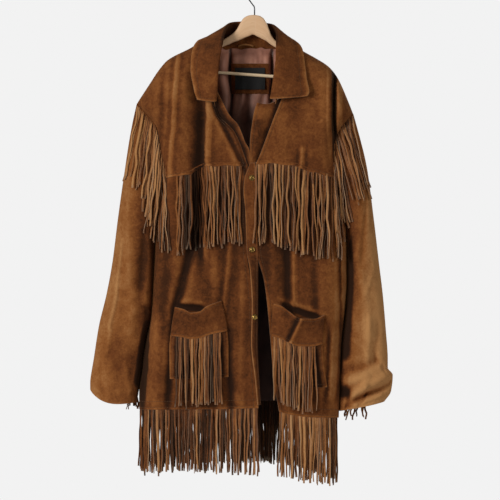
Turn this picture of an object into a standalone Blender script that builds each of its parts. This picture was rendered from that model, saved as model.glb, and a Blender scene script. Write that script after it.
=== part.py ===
# Fringed suede jacket on a wooden hanger.
# Metres, +Z up, the front faces -Y. The origin is the inner top of the hook, which carries it all.
# "left" and "right" are as seen from the front. Tables are in millimetres.
import math

import bpy
import bmesh
import numpy as np
from mathutils import Vector
from mathutils.bvhtree import BVHTree

MM = 0.001

# Driving dimensions, in millimetres
SUEDE = 2.0            # wall of the suede panels
SEAM_GAP = 0.3         # between two pieces sewn edge to edge
HALF_GAP = 0.4         # front and back panels keep this from the middle plane at their side seams
LAY_GAP = 0.35         # between a piece and the panel it lies on
SIDE_ROUND = 58.0      # width over which a panel turns round to the side seam
TOP_ROUND = 62.0       # height over which a panel turns over the shoulder
ARMHOLE_DEPTH = 27.0   # how far the armhole seam stands out from the middle plane
LINING_INSET = 6.5     # of the lining inside the back
LINING_SEWN = 5.6      # the same where it is sewn along the neck
LINING_SEWN_DROP = 70.0
FACING_BEHIND = 2.8    # of a front's turned edge behind its panel, middle to middle
BAND_THICK = 1.2
LINING_THICK = 1.0
STRAND_WIDTH = 4.6
STRAND_THICK = 1.6
STRIP_HEIGHT = 4.5     # of the strip that joins a fringe's strands at their roots
STRAND_PROBES = 12     # places along a strand where it is kept clear of what lies under it
HEM_SAG = 0.5          # the hem's straight facets stray this far from its curve
HOOK_RADIUS = 20.0
HOOK_WIRE = 1.5
HOOK_LEAN = math.radians(35)
HOOK_END = math.radians(-28)
LOOP_WIRE = 1.7
WOOD_TOP = -72.0
SNAP_RADIUS = 6.0
SNAP_SIDES = 10
WOOD_SIDES = 10
SLEEVE_SIDES = 16
SLEEVE_OFFSET = {"left": 1.7, "right": 2.3}    # of the sleeve head from the armhole's edge

# Outline of each half, by side: the shoulder tip and the underarm point
TIP = {"left": (-282.0, -284.0), "right": (236.0, -308.0)}
UNDERARM = {"left": (-237.0, -601.0), "right": (219.0, -601.0)}

# Shoulder line from end to end: x, z. Its middle stretch bounds the neck only.
SHOULDER = [
    (-282, -284), (-252, -238), (-228, -202), (-208, -180), (-155, -152), (-131, -138),
    (-95, -124), (-60, -98), (0, -84), (45, -98), (70, -126), (109, -155), (150, -178),
    (175, -194), (192, -212), (204, -232), (220, -268), (236, -308)]

# Edge of the body below the shoulder tip, top to bottom: z, x
SIDE_EDGE = {
    "left": [(-284, -282), (-347, -233), (-399, -224), (-459, -213), (-529, -226), (-601, -237),
             (-683, -241), (-797, -243), (-898, -260), (-980, -273), (-1020, -274)],
    "right": [(-308, 236), (-344, 206), (-366, 196), (-409, 191), (-459, 191), (-529, 204),
              (-601, 219), (-709, 217), (-816, 204), (-863, 200), (-1045, 199)]}

# Depth of the body, top to bottom: z, in front of the middle plane, behind it
BODY_DEPTH = [
    (-120, 22, 22), (-160, 36, 28), (-200, 46, 33), (-260, 54, 40), (-320, 58, 43),
    (-450, 60, 45), (-650, 58, 43), (-800, 55, 41), (-920, 52, 39), (-1050, 48, 37)]

# Soft folds of the body: side of the body, x and z at the top, at the bottom, width, out or in
FOLDS = [
    ("front", -119, -285, -117, -436, 12, 9),
    ("front", -143, -255, -141, -640, 17, -10),
    ("front", -193, -205, -206, -455, 17, 7),
    ("front", 186, -224, 186, -350, 10, -8),
    ("front", 109, -385, 108, -440, 10, 5),
    ("front", 60, -330, 66, -560, 22, 4),
    ("front", -167, -700, -170, -835, 15, -7),
    ("front", 92, -630, 96, -775, 15, -7),
    ("front", 150, -600, 150, -760, 22, 5),
    ("front", -60, -870, -58, -1030, 9, -4),
    ("front", -235, -820, -240, -1030, 18, 5),
    ("back", -120, -420, -150, -900, 24, 8),
    ("back", -30, -300, -40, -760, 26, -7),
    ("back", 70, -450, 90, -980, 24, 8),
    ("back", 150, -330, 165, -700, 16, -6),
    ("back", -200, -360, -205, -640, 16, -6),
]
FOLD_FADE = 55.0

# Edges of the front pieces: x, z
YOKE_INNER = {
    "left": [(-95, -124), (-99, -180), (-103, -240), (-98, -276), (-84, -318), (-60, -362), (-36, -405),
             (-27, -434)],
    "right": [(81, -134), (79, -180), (76, -240), (66, -272), (46, -322), (28, -370), (12, -412),
              (3, -431)]}
YOKE_SEAM = {
    "left": [(-27, -434), (-70, -435), (-117, -437), (-140, -446), (-157, -456), (-185, -460),
             (-213, -462)],
    "right": [(3, -431), (42, -430), (94, -436), (127, -447), (155, -454), (191, -462)]}
FRONT_EDGE = {
    "left": [(-27, -434), (-22, -520), (-20, -640), (-12, -750), (-6, -902), (2, -1016)],
    "right": [(3, -431), (4, -520), (6, -640), (23, -709), (31, -770), (38, -846), (47, -949), (59, -1024)]}
HEM = {
    "left": [(2, -1016), (-60, -1018), (-140, -1019), (-274, -1020)],
    "right": [(59, -1024), (87, -1032), (136, -1038), (199, -1040)]}
BACK_HEM = [(-274, -1016), (-150, -998), (0, -990), (120, -1006), (199, -1036)]
BACK_NECK = [(-95, -124), (-86, -141), (-60, -151), (-6, -156), (46, -155), (68, -148), (81, -134)]

# Facing that shows inside each yoke's edge: the free edge and the hidden edge, x, z
FACING_FREE = {
    "left": [(-89, -284), (-82, -311), (-62, -320), (-38, -346), (-18, -394), (-8, -434)],
    "right": [(7, -285), (1, -318), (-5, -352), (-6, -395), (-4, -430)]}
FACING_HIDDEN = {
    "left": [(-106, -288), (-96, -320), (-76, -350), (-56, -385), (-40, -412), (-30, -428)],
    "right": [(72, -276), (58, -318), (40, -366), (22, -404), (6, -426)]}

# Snap strip down the left front edge: z, left x, right x
SNAP_STRIP = [(-440, -20, 5), (-520, -20, 6), (-640, -18, 7), (-750, -8, 7), (-900, -2, 8), (-1008, 5, 13)]
SNAPS = {"snap_top": (-7, -464), "snap_middle": (-6, -636), "snap_bottom": (0, -798)}

# Collar, a section for each row: fold, outer edge and neck seam, each x, y, z
COLLAR = [
    (-93, -66, -279, -127, -71, -281, -96, -60, -277),
    (-91, -68, -246, -146, -67, -246, -98, -60, -242),
    (-89, -66, -208, -153, -60, -204, -97, -56, -204),
    (-84, -60, -172, -152, -46, -176, -94, -46, -172),
    (-78, -47, -140, -145, -22, -146, -91, -32, -142),
    (-70, -25, -108, -124, 6, -128, -89, -13, -129),
    (-58, 4, -91, -96, 34, -134, -84, 9, -130),
    (-34, 22, -87, -58, 45, -156, -52, 27.2, -150.0),
    (-6, 27, -88, -6, 49, -165, -6, 27.8, -154.8),
    (22, 24, -90, 44, 47, -160, 32, 27.4, -154.0),
    (44, 6, -95, 78, 36, -140, 67, 10, -136),
    (53, -20, -112, 100, 8, -136, 73, -12, -137),
    (54, -43, -144, 116, -20, -158, 68, -31, -150),
    (53, -56, -180, 121, -44, -192, 64, -44, -182),
    (50, -64, -213, 125, -60, -226, 62, -54, -212),
    (46, -67, -246, 131, -67, -256, 58, -58, -243),
    (42, -68, -272, 127, -70, -268, 50, -61, -270)]

# Sleeves, a section for each row: place along the sleeve, outer x and z, inner x and z, half depth
SLEEVE = {
    "left": [(0.00, -282, -284, -237, -601, 30), (0.10, -296, -345, -246, -618, 34),
             (0.22, -311, -440, -249, -640, 37), (0.36, -328, -560, -249, -680, 38),
             (0.50, -342, -670, -250, -742, 37), (0.62, -356, -745, -252, -786, 35),
             (0.73, -374, -820, -266, -846, 34), (0.84, -386, -896, -275, -910, 34),
             (0.93, -394, -962, -281, -968, 33), (1.00, -389, -994, -285, -1005, 33)],
    "right": [(0.00, 236, -308, 219, -601, 30), (0.10, 251, -360, 227, -618, 33),
              (0.22, 270, -440, 229, -640, 36), (0.36, 286, -560, 229, -680, 38),
              (0.50, 299, -670, 228, -742, 37), (0.62, 308, -745, 224, -790, 36),
              (0.73, 315, -826, 216, -850, 35), (0.84, 322, -905, 208, -912, 34),
              (0.93, 328, -962, 204, -972, 34), (1.00, 316, -1006, 205, -1022, 33)]}
# Sleeve creases: turn and place along the sleeve at one end, the same at the other, width, out or in.
# The turn runs 0..1 from the outer edge, and 0.25 is the front.
CREASES = {
    "left": [(0.20, 0.40, 0.30, 0.72, 0.035, 5), (0.36, 0.30, 0.26, 0.44, 0.03, -5),
             (0.14, 0.66, 0.36, 0.74, 0.035, -5), (0.70, 0.40, 0.80, 0.70, 0.035, 5)],
    "right": [(0.30, 0.38, 0.20, 0.70, 0.035, 5), (0.14, 0.28, 0.26, 0.42, 0.03, -5),
              (0.36, 0.80, 0.14, 0.86, 0.03, -6), (0.34, 0.90, 0.12, 0.95, 0.025, 5),
              (0.70, 0.45, 0.80, 0.72, 0.035, 5)]}

# Pockets, each edge from its start: x, z. The mouth gapes by so much.
POCKET = {
    "left": {"mouth": [(-80, -759), (-116, -773), (-132, -785), (-151, -788), (-168, -780), (-191, -774)],
             "inner": [(-80, -759), (-72, -793), (-66, -829), (-63, -872), (-63, -941)],
             "outer": [(-191, -774), (-200, -830), (-204, -872), (-203, -946)],
             "foot": [(-63, -941), (-130, -944), (-203, -946)]},
    "right": {"mouth": [(46, -766), (63, -771), (83, -785), (110, -802), (140, -803), (168, -793)],
              "inner": [(46, -766), (41, -828), (42, -880), (46, -960)],
              "outer": [(168, -793), (163, -853), (165, -902), (174, -966)],
              "foot": [(46, -960), (110, -966), (174, -966)]}}
POCKET_GAPE = 15.0
BAND_SHARE = 0.40      # of the pocket's height that its fringed band covers

# Lining of the back: z, left x, right x
LINING = [(-157, -86, 64), (-200, -118, 92), (-300, -150, 130), (-500, -160, 140), (-700, -170, 150),
          (-930, -180, 140)]

# Wooden hanger, a section for each row: x, top z, bottom z, half depth
HANGER = [
    (-220, -197, -211, 5), (-212, -189, -213, 7), (-150, -162, -186, 8), (-100, -141, -160, 8),
    (-76, -125, -147, 8), (-52, -108, -137, 8), (-34, -90, -131, 8), (-24, -78, -127, 8),
    (-12, -73, -122, 8), (-4, WOOD_TOP, -119, 8), (8, -73, -124, 8), (20, -79, -130, 8),
    (28, -92, -134, 8), (38, -113, -142, 8), (53, -132, -151, 8), (110, -166, -185, 8),
    (160, -193, -216, 7), (180, -205, -227, 6), (187, -212, -226, 4)]
BAR_RADIUS = 3.8
BAR_ENDS = ((-179.0, -203.0), (173.4, -227.8))

# Fringes: x and z of the line through the strands' tips
YOKE_FRINGE_TIPS = {"left": [(-30, -619), (-86, -627), (-132, -631), (-160, -640), (-206, -654)],
                    "right": [(6, -618), (57, -627), (87, -634), (118, -650), (184, -660)]}
# Fringe in the armhole seams: x, z of each strand's root, x of the first and the last tip, and length
ARMHOLE_ROOTS = {
    "left": [(-283, -292), (-272, -304), (-261, -316), (-250, -328), (-240, -342), (-234, -362),
             (-230, -386), (-225, -412), (-219, -438), (-214, -462)],
    "right": [(236, -316), (229, -323), (221, -330), (213, -339), (205, -350), (198, -366), (194, -388),
              (192, -412), (191, -436), (191, -460)]}
ARMHOLE_SPREAD = {"left": (-306, -214), "right": (280, 200)}
ARMHOLE_LENGTH = 176.0
ARMHOLE_BACK = 8       # strands that also hang behind
HEM_TIPS = {"left": [(0, -1176), (-91, -1168), (-184, -1166), (-274, -1172)],
            "right": [(59, -1176), (120, -1190), (199, -1200)]}
BACK_HEM_TIPS = [(-272, -1164), (-120, -1150), (20, -1146), (110, -1160), (197, -1192)]
POCKET_TIPS = {"left": [(-80, -1006), (-200, -1010)],
               "right": [(40, -1002), (100, -1028), (175, -1028)]}
# Fringe ends under the back of the cuffs: first x, last x, root z, tip z
CUFF_FRINGE = {"left": (-345, -302, -990, -1024), "right": (222, 264, -998, -1042)}
STRANDS = {"yoke": 21, "pocket": 11, "hem_left": 31, "hem_right": 17, "hem_back": 42, "cuff": 5}

COLOURS = {
    "suede": ((0.155, 0.064, 0.024), 0.92, 0.0),
    "suede_fringe": ((0.175, 0.080, 0.034), 0.92, 0.0),
    "lining_satin": ((0.120, 0.046, 0.036), 0.45, 0.0),
    "label_cloth": ((0.017, 0.015, 0.014), 0.80, 0.0),
    "beech": ((0.640, 0.360, 0.180), 0.50, 0.0),
    "antique_brass": ((0.200, 0.130, 0.050), 0.40, 1.0),
    "hook_steel": ((0.070, 0.070, 0.072), 0.35, 1.0),
}


def clear_scene():
    for item in list(bpy.data.objects):
        bpy.data.objects.remove(item, do_unlink=True)


def material(name):
    found = bpy.data.materials.get(name)
    if found:
        return found
    colour, roughness, metallic = COLOURS[name]
    made = bpy.data.materials.new(name)
    made.use_nodes = True
    shader = made.node_tree.nodes["Principled BSDF"]
    shader.inputs["Base Color"].default_value = (*colour, 1.0)
    shader.inputs["Roughness"].default_value = roughness
    shader.inputs["Metallic"].default_value = metallic
    return made


def rows_at(rows, key):
    """Values of a table at a key in its first column, on a smooth curve through its rows."""
    data = np.array(rows, dtype=float)
    if data[0, 0] > data[-1, 0]:
        data = data[::-1]
    keys, values = data[:, 0], data[:, 1:]
    key = min(max(key, keys[0]), keys[-1])
    i = min(int(np.searchsorted(keys, key, side="right")) - 1, len(keys) - 2)
    slopes = [(values[j + 1] - values[j]) / (keys[j + 1] - keys[j]) for j in range(len(keys) - 1)]

    def tangent(j):
        if j == 0 or j == len(keys) - 1:
            return slopes[0] if j == 0 else slopes[-1]
        a, b = slopes[j - 1], slopes[j]
        return np.where(a * b > 0, 2 * a * b / np.where(a + b == 0, 1, a + b), 0)

    width = keys[i + 1] - keys[i]
    t = (key - keys[i]) / width
    start, end = values[i], values[i + 1]
    return ((2 * t**3 - 3 * t**2 + 1) * start + (t**3 - 2 * t**2 + t) * width * tangent(i)
            + (3 * t**2 - 2 * t**3) * end + (t**3 - t**2) * width * tangent(i + 1))


def path(points):
    """A function of 0..1 that runs along points at an even pace."""
    data = np.array(points, dtype=float)
    steps = np.linalg.norm(np.diff(data, axis=0), axis=1)
    along = np.concatenate([[0.0], np.cumsum(steps)]) / steps.sum()
    rows = [(a, *p) for a, p in zip(along, data)]
    return lambda t: rows_at(rows, t)


def patch(top, bottom, inner, outer):
    """Coons patch between four edges, each a function of 0..1. u runs inner to outer, v top to bottom."""
    def at(u, v):
        edges = (1 - v) * top(u) + v * bottom(u) + (1 - u) * inner(v) + u * outer(v)
        corners = ((1 - u) * (1 - v) * top(0) + u * (1 - v) * top(1)
                   + (1 - u) * v * bottom(0) + u * v * bottom(1))
        return edges - corners
    return at


def quarter(t):
    t = min(max(t, 0.0), 1.0)
    return math.sqrt(max(0.0, 1 - (1 - t) ** 2))


def shoulder_z(x):
    return rows_at(SHOULDER, x)[0]


def armhole_z(side, share):
    """Height at a share of the armhole's drop. Its corners lie where the sleeve's ring has them."""
    return TIP[side][1] + (UNDERARM[side][1] - TIP[side][1]) * share


HALF_TURN = SLEEVE_SIDES // 2
ARMHOLE_CORNERS = [(1 - math.cos(math.pi * k / HALF_TURN)) / 2 for k in range(HALF_TURN + 1)]


def between_corners(side, z, value):
    """A value along the armhole, straight between its corners, so that both sides of the seam meet."""
    share = (TIP[side][1] - z) / (TIP[side][1] - UNDERARM[side][1])
    share = min(max(share, 0.0), 1.0)
    return float(np.interp(share, ARMHOLE_CORNERS, [value(s) for s in ARMHOLE_CORNERS]))


def side_x(side, z):
    if UNDERARM[side][1] < z < TIP[side][1]:
        return between_corners(side, z, lambda s: rows_at(SIDE_EDGE[side], armhole_z(side, s))[0])
    return rows_at(SIDE_EDGE[side], z)[0]


def edge_depth(side, z):
    """How far the armhole seam, or the side seam under it, stands off the middle plane."""
    if UNDERARM[side][1] < z < TIP[side][1]:
        return between_corners(side, z, lambda s: ARMHOLE_DEPTH * max(math.sin(math.pi * s), 0.0) ** 0.75)
    return 0.0


def fold_at(face, x, z):
    """Sum of the soft folds at a point of the front or back."""
    total = 0.0
    for where, x0, z0, x1, z1, width, out in FOLDS:
        if where != face:
            continue
        share = (z - z0) / (z1 - z0)
        centre = x0 + (x1 - x0) * min(max(share, -0.3), 1.3)
        past = max(z - z0, z1 - z, 0.0) / FOLD_FADE
        total += out * math.exp(-((x - centre) / width) ** 2) * math.exp(-past * past)
    return total


def body_y(face, x, z):
    """Depth coordinate of the front (negative) or back wall at x, z, all in millimetres."""
    front, back = rows_at(BODY_DEPTH, z)
    deep = front if face == "front" else back
    over = quarter((shoulder_z(x) - z) / TOP_ROUND)
    turns, edges = 1.0, 0.0
    for side, sign in (("left", 1), ("right", -1)):
        turn = quarter(sign * (x - side_x(side, z)) / SIDE_ROUND)
        turns *= turn
        edges += edge_depth(side, z) * (1 - turn)
    depth = HALF_GAP + over * (deep + fold_at(face, x, z)) * turns + edges
    return -depth if face == "front" else depth


def normal_of(point, u, v, wrap=False):
    """Unit normal of a surface given as point(u, v), from short steps that stay inside it."""
    step = 0.002
    u0, u1 = (u - step, u + step) if wrap else (max(u - step, 0.0), min(u + step, 1.0))
    v0, v1 = max(v - step, 0.0), min(v + step, 1.0)
    across = np.array(point(u1, v)) - np.array(point(u0, v))
    down = np.array(point(u, v1)) - np.array(point(u, v0))
    normal = np.cross(across, down)
    size = np.linalg.norm(normal)
    return normal / size if size > 1e-9 else np.array((0.0, -1.0, 0.0))


def finish(name, mesh_data, material_name):
    mesh = bpy.data.meshes.new(name)
    mesh_data.to_mesh(mesh)
    mesh_data.free()
    for face in mesh.polygons:
        face.use_smooth = True
    mesh.set_sharp_from_angle(angle=math.radians(40))
    mesh.materials.append(material(material_name))
    item = bpy.data.objects.new(name, mesh)
    bpy.context.scene.collection.objects.link(item)
    return item


def wall(name, point, us, vs, thick, material_name, wrap=False, face=None, normal=None):
    """Closed wall about the surface point(u, v): two skins and a rim. With wrap, u closes on itself.
    A wall of the front or back face stays on its own side of the middle plane."""
    normal = normal or (lambda u, v: normal_of(point, u, v, wrap))
    data = bmesh.new()
    skins = {}
    for sign in (1, -1):
        for i, u in enumerate(us):
            for j, v in enumerate(vs):
                place = np.array(point(u, v)) + normal(u, v) * thick / 2 * sign
                if face == "front":
                    place[1] = min(place[1], -SEAM_GAP / 2)
                if face == "back":
                    place[1] = max(place[1], SEAM_GAP / 2)
                skins[sign, i, j] = data.verts.new(Vector(place * MM))
    columns = len(us)
    last_u, last_v = columns - 1, len(vs) - 1
    spans = range(columns) if wrap else range(last_u)
    for i in spans:
        k = (i + 1) % columns
        for j in range(last_v):
            data.faces.new([skins[1, i, j], skins[1, k, j], skins[1, k, j + 1], skins[1, i, j + 1]])
            data.faces.new([skins[-1, i, j], skins[-1, i, j + 1], skins[-1, k, j + 1], skins[-1, k, j]])
        for j in (0, last_v):
            data.faces.new([skins[1, i, j], skins[-1, i, j], skins[-1, k, j], skins[1, k, j]])
    if not wrap:
        for i in (0, last_u):
            for j in range(last_v):
                data.faces.new([skins[1, i, j], skins[1, i, j + 1], skins[-1, i, j + 1], skins[-1, i, j]])
    bmesh.ops.recalc_face_normals(data, faces=data.faces)
    return finish(name, data, material_name)


def spaced(count, ease=1.0):
    """count + 1 places from 0 to 1, closer together near 0 when ease is above 1."""
    return [(i / count) ** ease for i in range(count + 1)]


def both_ends(count, pull=0.35):
    """count + 1 places from 0 to 1, closer together at both ends."""
    return [t - pull * math.sin(2 * math.pi * t) / (2 * math.pi) for t in spaced(count)]


class Underlay:
    """The surfaces a piece lies on. It tells how far out they come around a point."""

    def __init__(self, items):
        self.trees = [BVHTree.FromPolygons([tuple(v.co) for v in item.data.vertices],
                                           [tuple(p.vertices) for p in item.data.polygons])
                      for item in items]

    def out(self, x, z, reach, face, fallback):
        """y just clear of everything within reach of x, z, in millimetres."""
        sign = -1 if face == "front" else 1
        best = None
        for dx in np.linspace(-reach, reach, 5):
            for dz in np.linspace(-reach, reach, 5):
                start = Vector(((x + dx) * MM, sign * 0.5, (z + dz) * MM))
                for tree in self.trees:
                    hit = tree.ray_cast(start, Vector((0, -sign, 0)))[0]
                    if hit is not None:
                        depth = sign * hit.y / MM
                        best = depth if best is None else max(best, depth)
        return sign * ((fallback if best is None else best) + LAY_GAP)


def panel_point(face, flat):
    """Surface on the body wall over a flat (x, z) patch."""
    def at(u, v):
        x, z = flat(u, v)
        return (x, body_y(face, x, z), z)
    return at


# ---- the body -------------------------------------------------------------------------------------

def outer_edge(side, top_z, low_z):
    return lambda v: np.array((side_x(side, top_z + (low_z - top_z) * v), top_z + (low_z - top_z) * v))


def shoulder_run(x0, x1):
    points = [p for p in SHOULDER if min(x0, x1) < p[0] < max(x0, x1)]
    ends = [(x0, shoulder_z(x0)), (x1, shoulder_z(x1))]
    inside = sorted(points, key=lambda p: abs(p[0] - x0))
    return path([ends[0], *inside, ends[1]])


def edge_rows(side, top, low, more):
    """Rows of a panel from top to low: the armhole's corners, the middles between them, and more."""
    corners = [armhole_z(side, s) for s in ARMHOLE_CORNERS]
    corners += [(a + b) / 2 for a, b in zip(corners, corners[1:]) if a - b > 20]
    rows = sorted({top, low, *more, *[z for z in corners if low + 8 < z < top - 2]}, reverse=True)
    return [(top - z) / (top - low) for z in rows]


def make_yoke(side):
    inner_rows, seam_rows = YOKE_INNER[side], YOKE_SEAM[side]
    flat = patch(shoulder_run(inner_rows[0][0], TIP[side][0]), path(seam_rows), path(inner_rows),
                 outer_edge(side, TIP[side][1], seam_rows[-1][1]))
    shrink = 0.0015      # share of the yoke's size left free at its seams
    point = panel_point("front", flat)
    us = [shrink + (1 - 2 * shrink) * t for t in both_ends(9)]
    top, low = TIP[side][1], seam_rows[-1][1]
    vs = [t * (1 - shrink) for t in edge_rows(side, top, low, [])]
    return wall(f"yoke_{side}", point, us, vs, SUEDE, "suede", face="front")


def make_front(side):
    seam_rows = YOKE_SEAM[side]
    hem = HEM[side]
    flat = patch(path(seam_rows), path(hem), path(FRONT_EDGE[side]),
                 outer_edge(side, seam_rows[-1][1], hem[-1][1]))
    us = both_ends(9)
    vs = edge_rows(side, seam_rows[-1][1], hem[-1][1], [-660, -715, -770, -825, -880, -935, -985])
    vs[0] = SEAM_GAP / (seam_rows[-1][1] - hem[-1][1]) * 2
    return wall(f"front_{side}", panel_point("front", flat), us, vs, SUEDE, "suede", face="front")


def make_back():
    top_rows = ([p for p in SHOULDER if p[0] < BACK_NECK[0][0]] + BACK_NECK
                + [p for p in SHOULDER if p[0] > BACK_NECK[-1][0]])
    flat = patch(path(top_rows), path(BACK_HEM), outer_edge("left", TIP["left"][1], BACK_HEM[0][1]),
                 outer_edge("right", TIP["right"][1], BACK_HEM[-1][1]))
    vs = edge_rows("left", TIP["left"][1], BACK_HEM[0][1], [-655, -715, -775, -835, -895, -955])
    return wall("back", panel_point("back", flat), both_ends(20, 0.5), vs, SUEDE, "suede", face="back")


def make_facing(side):
    """Turned edge of the front, which shows between the yoke's edge and the neck opening."""
    free, hidden = path(FACING_FREE[side]), path(FACING_HIDDEN[side])

    def point(u, v):
        x, z = (1 - u) * free(v) + u * hidden(v)
        roll = 3.5 * (1 - u) ** 2 if side == "left" else 1.2 * (1 - u)
        return (x, body_y("front", x, z) + FACING_BEHIND - roll * math.sin(math.pi * v), z)
    return wall(f"facing_{side}", point, spaced(4), spaced(8), SUEDE * 0.8, "suede")


def make_lining():
    def point(u, v):
        z = LINING[0][0] + (LINING[-1][0] - LINING[0][0]) * v
        left, right = rows_at(LINING, z)
        x = left + (right - left) * u
        sewn = max(0.0, 1 - (LINING[0][0] - z) / LINING_SEWN_DROP)
        return (x, body_y("back", x, z) - LINING_INSET + (LINING_INSET - LINING_SEWN) * sewn, z)
    return wall("lining_back", point, spaced(9), spaced(12, 1.2), LINING_THICK, "lining_satin")


def make_label(lining):
    """Bare label on a suede patch, both on the lining."""
    under = Underlay([lining])
    for name, x0, x1, z0, z1, thick, stuff in (
            ("label_patch", -56, 34, -188, -260, 1.2, "suede"),
            ("label", -47, 25, -198, -250, 0.6, "label_cloth")):
        def point(u, v):
            x, z = x0 + (x1 - x0) * u, z0 + (z1 - z0) * v
            return (x, under.out(x, z, 7, "front", -28) - thick / 2, z)
        under = Underlay([wall(name, point, spaced(4), spaced(3), thick, stuff)])


def make_collar():
    """One rolled curve for each section, from the neck seam over the fold to the outer edge."""
    rows = [(i / (len(COLLAR) - 1), *row) for i, row in enumerate(COLLAR)]

    def point(u, v):
        row = rows_at(rows, u)
        fold, outer, seam = row[0:3], row[3:6], row[6:9]
        under, over = np.linalg.norm(fold - seam), np.linalg.norm(outer - fold)
        at = under / (under + over)
        pull = (fold - (1 - at) ** 2 * seam - at ** 2 * outer) / (2 * at * (1 - at))
        return (1 - v) ** 2 * seam + 2 * v * (1 - v) * pull + v ** 2 * outer
    across = [0, 0.12, 0.25, 0.38, 0.52, 0.68, 0.84, 1.0]
    return wall("collar", point, spaced(2 * len(rows) - 2), across, SUEDE, "suede")


# ---- sleeves --------------------------------------------------------------------------------------

def sleeve_point(side):
    rows, creases = SLEEVE[side], CREASES[side]
    outward = -1 if side == "left" else 1

    def armhole(turn):
        z = armhole_z(side, (1 - math.cos(turn)) / 2)
        y = -edge_depth(side, z) * math.copysign(1.0, math.sin(turn))
        return np.array((side_x(side, z) + outward * SLEEVE_OFFSET[side], y, z - 0.6))

    def at(u, v):
        turn = 2 * math.pi * u
        outer_x, outer_z, inner_x, inner_z, deep = rows_at(rows, v)
        share = (1 - math.cos(turn)) / 2
        wave = math.sin(turn)
        push = 0.0
        for u0, v0, u1, v1, width, out in creases:
            slope = np.array((u1 - u0, v1 - v0))
            rel = np.array((u - u0, v - v0))
            along = min(max(float(rel @ slope / (slope @ slope)), 0.0), 1.0)
            gap = np.linalg.norm((rel - along * slope) * (1.0, 0.8))
            push += out * math.exp(-(gap / width) ** 2)
        deep = deep + push * min(1.0, v * 6)
        y = -math.copysign(abs(wave) ** 0.85, wave) * deep
        spot = np.array((outer_x + (inner_x - outer_x) * share, y, outer_z + (inner_z - outer_z) * share))
        weight = max(0.0, 1 - v / 0.16) ** 1.6
        return spot * (1 - weight) + armhole(turn) * weight
    return at


def sleeve_normal(side):
    """Outward normal of each section's ellipse, which stays even where the sections are narrow."""
    def at(u, v):
        turn = 2 * math.pi * u
        outer_x, outer_z, inner_x, inner_z, deep = rows_at(SLEEVE[side], v)
        across = np.array((outer_x - inner_x, 0.0, outer_z - inner_z))
        half = np.linalg.norm(across) / 2
        normal = across / (2 * half) * math.cos(turn) / half + np.array((0, -math.sin(turn) / deep, 0))
        return normal / np.linalg.norm(normal)
    return at


def make_sleeve(side):
    turns = [i / SLEEVE_SIDES for i in range(SLEEVE_SIDES)]
    places = [0, 0.03, 0.07, 0.12, 0.18, 0.26, 0.35, 0.44, 0.52, 0.60, 0.68, 0.76, 0.84, 0.91, 1.0]
    return wall(f"sleeve_{side}", sleeve_point(side), turns, places, SUEDE, "suede", wrap=True,
                normal=sleeve_normal(side))


# ---- what lies on the fronts ----------------------------------------------------------------------

def pocket_flat(side):
    edges = POCKET[side]
    return patch(path(edges["mouth"]), path(edges["foot"]), path(edges["inner"]), path(edges["outer"]))


def make_pocket(side, under):
    flat = pocket_flat(side)

    def gape(u, v):
        middle = math.sin(math.pi * u)
        return 3.0 * middle ** 0.6 + POCKET_GAPE * middle ** 0.8 * (1 - v) ** 1.6

    def point(u, v):
        x, z = flat(u, v)
        bag = gape(u, v) * min(1.0, (1 - v) * 5)
        return (x, under.out(x, z, 8, "front", 40) - SUEDE * 0.45 - bag, z)

    pocket = wall(f"pocket_{side}", point, both_ends(7), spaced(7), SUEDE * 0.8, "suede")
    over = Underlay([pocket])

    def band(u, v):
        x, z = flat(u, v * BAND_SHARE)
        return (x, over.out(x, z, 4, "front", 60) - BAND_THICK * 0.62, z)
    inside_edges = [0.03 + 0.94 * t for t in spaced(7)]
    return pocket, wall(f"pocket_band_{side}", band, inside_edges, [0.04, 0.5, 1.0], BAND_THICK, "suede")


def make_snap_strip(under):
    def point(u, v):
        z = SNAP_STRIP[0][0] + (SNAP_STRIP[-1][0] - SNAP_STRIP[0][0]) * v
        left, right = rows_at(SNAP_STRIP, z)
        x = left + (right - left) * u
        return (x, under.out(x, z, 14, "front", 55) - 1.0, z)
    return wall("snap_strip", point, [0, 0.5, 1], spaced(16), SUEDE * 0.8, "suede")


def make_snap(name, x, z, under):
    """Domed cap with a rolled rim, turned about the depth axis."""
    profile = [(0.0, 3.2), (2.6, 2.9), (4.4, 2.1), (4.9, 1.7), (5.4, 2.0), (SNAP_RADIUS, 1.2),
               (SNAP_RADIUS - 0.2, 0.0), (0.0, 0.0)]
    base = under.out(x, z, 5, "front", 60)
    data = bmesh.new()
    sides = SNAP_SIDES
    rings = []
    for radius, out in profile:
        if radius == 0.0:
            rings.append([data.verts.new(Vector((x, base - out, z)) * MM)])
            continue
        rings.append([data.verts.new(Vector((x + radius * math.cos(2 * math.pi * k / sides), base - out,
                                             z + radius * math.sin(2 * math.pi * k / sides))) * MM)
                      for k in range(sides)])
    for a, b in zip(rings, rings[1:]):
        for k in range(sides):
            m = (k + 1) % sides
            if len(a) == 1:
                data.faces.new([a[0], b[k], b[m]])
            elif len(b) == 1:
                data.faces.new([a[k], b[0], a[m]])
            else:
                data.faces.new([a[k], b[k], b[m], a[m]])
    bmesh.ops.recalc_face_normals(data, faces=data.faces)
    return finish(name, data, "antique_brass")


# ---- fringe ---------------------------------------------------------------------------------------

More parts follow.
